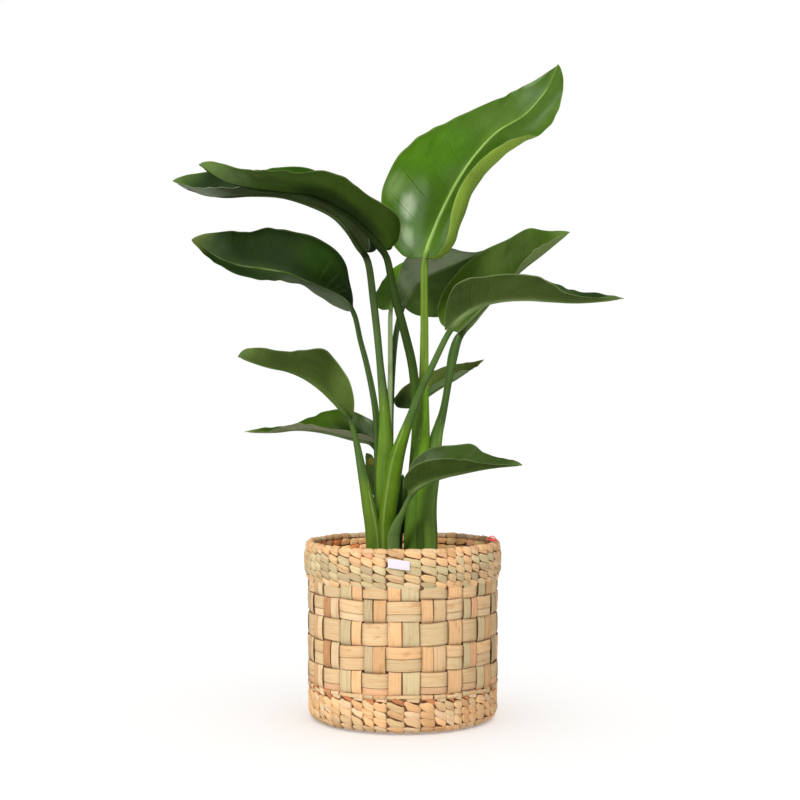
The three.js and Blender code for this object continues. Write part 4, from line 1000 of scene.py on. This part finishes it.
# Rows of the stalk and, past the base of the blade, of the keel under its rib
def stalkRows(leaf):
    rows = np.array(leaf["stalkPath"][:1] + leaf["stalkPath"], float)
    rows[0, 2] = stalk["start"]
    u = np.array([0.04, 0.12, 0.22, 0.34, 0.48, 0.62, 0.76, 0.9, 0.97])
    centre, _, _, up, _ = ribFrames(leaf, u)
    radius = stalk["tipRadius"] + (rows[-1, 4] * 0.92 - stalk["tipRadius"]) * (1 - u / 0.98) ** 1.25
    centre = centre - up * (stalk["sink"] * radius)[:, None]
    path = np.concatenate([rows, np.column_stack([centre, radius, radius])])
    gaps = np.linalg.norm(np.diff(path[:, :3], axis=0), axis=1)
    knots = np.append(0, np.cumsum(np.maximum(gaps, 1)))
    run = np.linspace(0, knots[-1], int(knots[-1] / stalk["step"]))
    smooth = valueAt(path, np.interp(run, knots, np.linspace(0, 1, len(path))))
    for k in (3, 4):
        smooth[:, k] = 0.5 * smooth[:, k] + 0.5 * np.interp(run, knots, path[:, k])
    keep = (smooth[:, 2] > stalk["buried"]) | (run > knots[1])
    return smooth[keep], run[keep] - (knots[len(rows) - 1] + 6), up[0]


def addStalk(shape, leaf, seed):
    rows, run, upAtBase = stalkRows(leaf)
    centre, wide, deepHalf = rows[:, :3], rows[:, 3:4], rows[:, 4:5]
    along = unit(np.gradient(centre, axis=0))

    # A side of the stalk carried along it without a twist
    def carried(vector, order):
        found = np.zeros(along.shape)
        for k in order:
            vector = found[k] = unit(vector - np.dot(vector, along[k]) * along[k])
        return found
    count, joint = len(rows), int(np.argmin(np.abs(run)))
    across = carried(np.array([1.0, 0, 0]), range(count))
    deep = np.cross(along, across)
    channel = carried(upAtBase, range(joint, -1, -1))
    channel[joint:] = carried(upAtBase, range(joint, count))[joint:]
    start = np.arctan2(np.sum(channel * deep, axis=1), np.sum(channel * across, axis=1))
    angle = 2 * math.pi * np.arange(stalk["sides"]) / stalk["sides"]
    away = (angle - start[:, None] + math.pi) % (2 * math.pi) - math.pi
    run = run[:, None]
    ridge = lambda value, width: np.exp(-(value / width) ** 2)
    sheath = smoothStep(wide, *stalk["sheathWidths"]) * smoothStep(-run, *stalk["sheathDistances"])
    petiole = (1 - sheath) * smoothStep(-run, -8, 14)
    groove = stalk["channel"] * petiole * ridge(away, 0.55)
    opening = np.radians(stalk["opening"][0] + stalk["opening"][1] * sheath)
    inside = 1 - smoothStep(np.abs(away), opening - 0.10, opening + 0.10)
    factor = 0.97 * (1 - groove - 0.12 * sheath * inside)
    rings = centre[:, None] + across[:, None] * (wide * factor * np.cos(angle))[..., None]
    rings = rings + deep[:, None] * (deepHalf * factor * np.sin(angle))[..., None]
    tone = blendTo(paint(leaf["stalk"]), paint(leaf["sheath"]), sheath)
    tone = blendTo(tone, paint(leaf["keel"]), smoothStep(run, -5, 25))
    # Two painted highlight lines run along the stalk and sheath
    tone = blendTo(tone, tone * 1.5, ridge(np.abs(away) - 2.3, 0.28) * (0.3 * petiole + 0.4 * sheath))
    lowest = 1 - smoothStep(centre[:, 2:], *stalk["footHeights"])
    tone = blendTo(tone, paint(leaf.get("foot", leaf["sheath"])), 0.85 * lowest)
    # Painted shade in the petiole's channel
    tone = blendTo(tone, tone * 0.62, 0.55 * petiole * ridge(away, 0.5))
    pale = ridge(np.abs(away) - opening, 0.07) * np.maximum(sheath, 0.2 * petiole)
    tone = blendTo(tone, paint(stalk["edge"]), stalk["edgeCover"] * pale)
    # Painted shade on the stalk just under the blade
    tone = blendTo(tone, tone * 0.3, np.minimum(leaf.get("collar", 0.5) * ridge(run - 4, 7), 1))
    place = together(run, (wide + deepHalf) / 2 * (away + 4), 5.1 * seed)
    shape.addTube(rings, tone, place, together(0.75 - 0.2 * sheath, 0, 0.35 + 0.15 * sheath), zero)


for seed, (name, leaf) in enumerate(leaves.items(), 1):
    leafShape = Shape()
    addBlade(leafShape, leaf, seed)
    addStalk(leafShape, leaf, seed)
    leafShape.finish(name.replace("leaf_", "blade_"), name, leafSkin)

pot = {
    "side": 97.0, "slope": 17 / 214.4, "topRadius": 111.0, "lip": 115.0, "wall": 2.0,
    "tone": (44, 41, 38), "darkTone": (34, 32, 30), "lightTone": (50, 47, 44),
}


def makePot():
    plastic = Finish("pot_black_plastic")
    grain = plastic.noise(plastic.field("place")["Vector"], 0.8, 3.0)
    plastic.set(Base_Color=plastic.mix(grain, paint(pot["darkTone"]), paint(pot["lightTone"])), Roughness=0.5)
    plastic.set(Normal=plastic.bump(grain, 0.2, 0.0004))
    side, slope, top, lip = (pot[key] for key in ("side", "slope", "topRadius", "lip"))
    rings = turned((
        (60, 8.4), (88, 8.2), (92.5, 7.8), (side - 2.6, 9.6), (side - 2.4, 12), (side + slope * 60 - 3, 70),
        (side + slope * 130 - 3, 140), (top - 0.5, 208.6), (lip - 1.2, 209.2), (lip, 210.4), (lip, 219.8),
        (lip - 0.8, 221.5), (lip - 2.2, 222), (lip - 4, 221.2), (top - 1.6, 218.5), (top - pot["wall"], 214),
        (101, 120), (93, 12), (88, 10.4), (60, 10.4),
    ), 128)
    shape = Shape()
    shape.addTube(rings, paint(pot["tone"]), rings, zero, closed=True)
    shape.finish("pot_shell", "nursery_pot", plastic.block)


makePot()

soil = {
    "radius": 107.0, "level": 213.0, "highest": 215.5, "bottom": 150.0, "crumbs": 420, "grain": 0.35,
    "bumpSizes": (31.0, 17.0, 9.0, 5.2), "bumpHeight": 0.045, "edgeDrop": 1.6,
    "tone": (60, 44, 32), "darkTone": (44, 31, 22), "lightTone": (92, 68, 48), "fleckTone": (150, 118, 84),
}


def makeSoil():
    earth = Finish("potting_soil")
    spot = earth.field("place")["Vector"]
    rough = earth.noise(spot, 0.35, 6.0, 0.7)
    colour = earth.mix(rough, paint(soil["darkTone"]), paint(soil["lightTone"]))
    colour = earth.mix(earth.spread(earth.noise(spot, 1.3), 0.66, 0.74), colour, paint(soil["fleckTone"]))
    earth.set(Base_Color=colour, Roughness=0.95, Normal=earth.bump(rough, 0.9, 0.002))
    rng = np.random.default_rng(51)
    radii, x, y = discPlaces(1.0, np.linspace(3, soil["radius"], 52), 160)
    level = soil["level"]
    for size in soil["bumpSizes"]:
        a, b, c = rng.uniform(0, 6, 3)
        bumps = np.sin(x / size * 2.1 + a + np.sin(y / size + b)) * np.cos(y / size * 1.9 + c)
        level = level + soil["bumpHeight"] * size * bumps
    level = level + rng.normal(0, soil["grain"], x.shape) * (radii > 5)
    level = level - soil["edgeDrop"] * smoothStep(radii, 96, soil["radius"])
    top = together(x, y, np.minimum(level, soil["highest"]))
    rings = np.concatenate([top, together(x * 0.985, y * 0.985, soil["bottom"])[::-1]])
    shape = Shape()
    shape.addTube(rings, paint(soil["tone"]), rings, zero)
    lat, lon = np.linspace(0.25, math.pi - 0.25, 5)[:, None], np.linspace(0, 2 * math.pi, 8)[:-1]
    ball = together(np.sin(lat) * np.cos(lon), np.sin(lat) * np.sin(lon), np.cos(lat))
    for _ in range(soil["crumbs"]):
        distance = soil["radius"] * 0.95 * math.sqrt(rng.random())
        turn, size = rng.uniform(0, 2 * math.pi), rng.uniform(0.9, 2.6)
        centre = (distance * math.sin(turn), distance * math.cos(turn), soil["level"] + 0.4 * size)
        crumb = ball * size * (1 + rng.uniform(-0.25, 0.25, (5, 7, 1))) * rng.uniform(0.7, 1.2, 3) + centre
        shape.addTube(crumb, paint(soil["tone"]), crumb, zero)
    shape.finish("soil_top", "soil", earth.block)


makeSoil()

tag = {
    "angle": -2.2, "low": 224.0, "high": 236.4, "half": 14.8, "tilt": -0.125, "radius": 142.2,
    "thickness": 0.9, "tone": (250, 245, 248), "lightTone": (238, 230, 238), "darkTone": (226, 214, 224),
}


# Small blank card folded into the rim
def makeTag():
    card = Finish("tag_card")
    grain = card.noise(card.field("place")["Vector"], 1.6)
    colour = card.mix(card.spread(grain, 0.5, 0.7), paint(tag["lightTone"]), paint(tag["darkTone"]))
    card.set(Base_Color=colour, Roughness=0.6, Normal=card.bump(grain, 0.15, 0.0003))
    s = np.linspace(-1, 1, 25)[:, None]
    w = np.array([-1, -0.93, -0.6, -0.2, 0.2, 0.6, 0.93, 1])
    reach = s * tag["half"]
    corner = 1 - 0.05 * smoothStep(np.abs(s), 0.9, 1.0)
    z = (tag["low"] + tag["high"]) / 2 + (tag["high"] - tag["low"]) / 2 * corner * w + tag["tilt"] * reach
    angle = tag["angle"] + np.degrees(reach / tag["radius"])
    radius = tag["radius"] + 0.25 * np.sin(s * 2.4 + 0.6) + 0.35 * (1 - w ** 2)
    outer, inner = (around(angle, radius - depth, z) for depth in (0, tag["thickness"]))
    shape = Shape()
    shape.addSheet(outer, inner, paint(tag["tone"]), outer, zero)
    shape.finish("tag_blank", "rim_tag", card.block)


makeTag()

thread = {
    "strands": 12, "radius": 0.55, "loop": (0.6, 9.5),
    "tone": (230, 70, 70), "darkTone": (226, 60, 66), "fuzzTone": (246, 132, 120),
    "route": (
        (118, -43, 253.6), (121.5, -44.2, 252.6), (125, -45.5, 251.6), (128.3, -46.7, 251.4),
        (131.5, -47.9, 251.6),
    ),
}


# Loose ends of red thread that lie over the rim
def makeThread():
    cotton = Finish("red_cotton")
    fuzz = cotton.noise(cotton.field("place")["Vector"], 3.0, 3.0)
    colour = cotton.mix(fuzz, paint(thread["darkTone"]), paint(thread["fuzzTone"]))
    cotton.set(Base_Color=colour, Roughness=0.85, Normal=cotton.bump(fuzz, 0.5, 0.0004))
    rng = np.random.default_rng(61)
    share, steps = np.linspace(0, 1, 5)[:, None], np.linspace(0, 1, 20)
    angle = np.radians(anglesRound(8))
    radius = thread["radius"] * (1 - 0.5 * steps ** 3)[:, None]
    shape = Shape()
    for _ in range(thread["strands"]):
        shift = rng.normal(0, 1, 3) * (0.5, 1.1, 0.25)
        bend = rng.normal(0, 1, 3) * (0.5, 2.2, 0.3)
        path = np.array(thread["route"]) + shift + bend * (share - 0.5) ** 2 * 4
        path[:, 2] += rng.uniform(*thread["loop"]) * np.sin(share[:, 0] * 2.8 + 0.2)
        centre = valueAt(path, steps)
        along = unit(np.gradient(centre, axis=0))
        side = unit(np.cross(along, [0, 0, 1.0]))
        rings = centre[:, None] + side[:, None] * (radius * np.cos(angle))[..., None]
        rings = rings + np.cross(side, along)[:, None] * (radius * np.sin(angle))[..., None]
        shape.addTube(rings, paint(thread["tone"]), rings, zero)
    shape.finish("thread_tuft", "rim_thread", cotton.block)


makeThread()

# Powers in watts, places in metres and spreads in degrees. skyShown is the sky that the camera
# sees, skyLight the one that lights the plant and skyGloss the one that is mirrored in it.
studio = {
    "cameraPlace": (-0.004, -2.140, 0.450), "lens": 67.4, "skyLight": 0.58, "skyShown": 1.0, "skyGloss": 0.06,
    "keyPower": 16.5, "keyPlace": (-1.2, -1.9, 2.3), "keyAim": 0.6, "keySize": 0.55,
    "fillPower": 2.0, "fillPlace": (1.8, -1.7, 1.5), "fillAim": 0.5, "fillSize": 0.5,
    "sunPower": 2.05, "sunSpread": 16, "sunTurn": (42, 0, -28), "floorSun": 1.0, "floorSpread": 70,
    "floorGlow": 0.27, "floorRadius": 14,
}


def addLamp(name, kind, spot, turn, **settings):
    lamp = bpy.data.lights.new(name, kind)
    for key, value in settings.items():
        setattr(lamp, key, value)
    return setUp(name, lamp, spot, turn)


# Camera, pale floor and soft light. The lamps leave the floor out, and a sun of its own lights it.
def makeStudio():
    scene = bpy.context.scene
    scene.view_settings.view_transform = "Standard"
    view = bpy.data.cameras.new("camera")
    view.lens, view.sensor_width, view.clip_end = studio["lens"], 36, 60
    scene.camera = setUp("camera", view, studio["cameraPlace"], (math.radians(90), 0, 0))
    sky = Finish("studio_sky", "worlds", "Background")
    ray = sky.node("LightPath")
    unseen = sky.spread(ray["Is Glossy Ray"], 0.0, 1.0, studio["skyLight"], studio["skyGloss"])
    shown = sky.spread(ray["Is Camera Ray"], 0.0, 1.0, unseen, studio["skyShown"])
    sky.set(Color=(1, 1, 1), Strength=shown)
    scene.world = sky.block
    lamps = []
    for name in ("key", "fill"):
        x, y, z = spot = studio[name + "Place"]
        tilt = math.atan2(math.hypot(x, y), z - studio[name + "Aim"])
        turn = (tilt, 0, math.atan2(-y, -x) - math.pi / 2)
        power, size = studio[name + "Power"], studio[name + "Size"]
        lamps.append(addLamp(name + "_light", "AREA", spot, turn, energy=power, size=size))
    sunTurn = tuple(map(math.radians, studio["sunTurn"]))
    spread = math.radians(studio["sunSpread"])
    lamps.append(addLamp("soft_sun", "SUN", zero, sunTurn, energy=studio["sunPower"], angle=spread))
    ground = Finish("floor_white")
    ground.set(Base_Color=(0.9, 0.9, 0.9), Roughness=0.9, Specular_IOR_Level=0.1)
    ground.set(Emission_Color=(1.0, 1.0, 1.0), Emission_Strength=studio["floorGlow"])
    mesh = bpy.data.meshes.new("floor")
    mesh.from_pydata(around(anglesRound(96), studio["floorRadius"], 0).tolist(), [], [list(range(96))])
    mesh.materials.append(ground.block)
    floor = setUp("floor", mesh, (0, 0, -0.0002))
    floor.visible_glossy = False
    spread = math.radians(studio["floorSpread"])
    overhead = addLamp("floor_sun", "SUN", zero, zero, energy=studio["floorSun"], angle=spread)
    for name, state, lit in (("floor_left_dark", "EXCLUDE", lamps), ("floor_alone", "INCLUDE", [overhead])):
        group = bpy.data.collections.new(name)
        group.objects.link(floor)
        group.collection_objects[0].light_linking.link_state = state
        for lamp in lit:
            lamp.light_linking.receiver_collection = group


makeStudio()
print("studio set up")
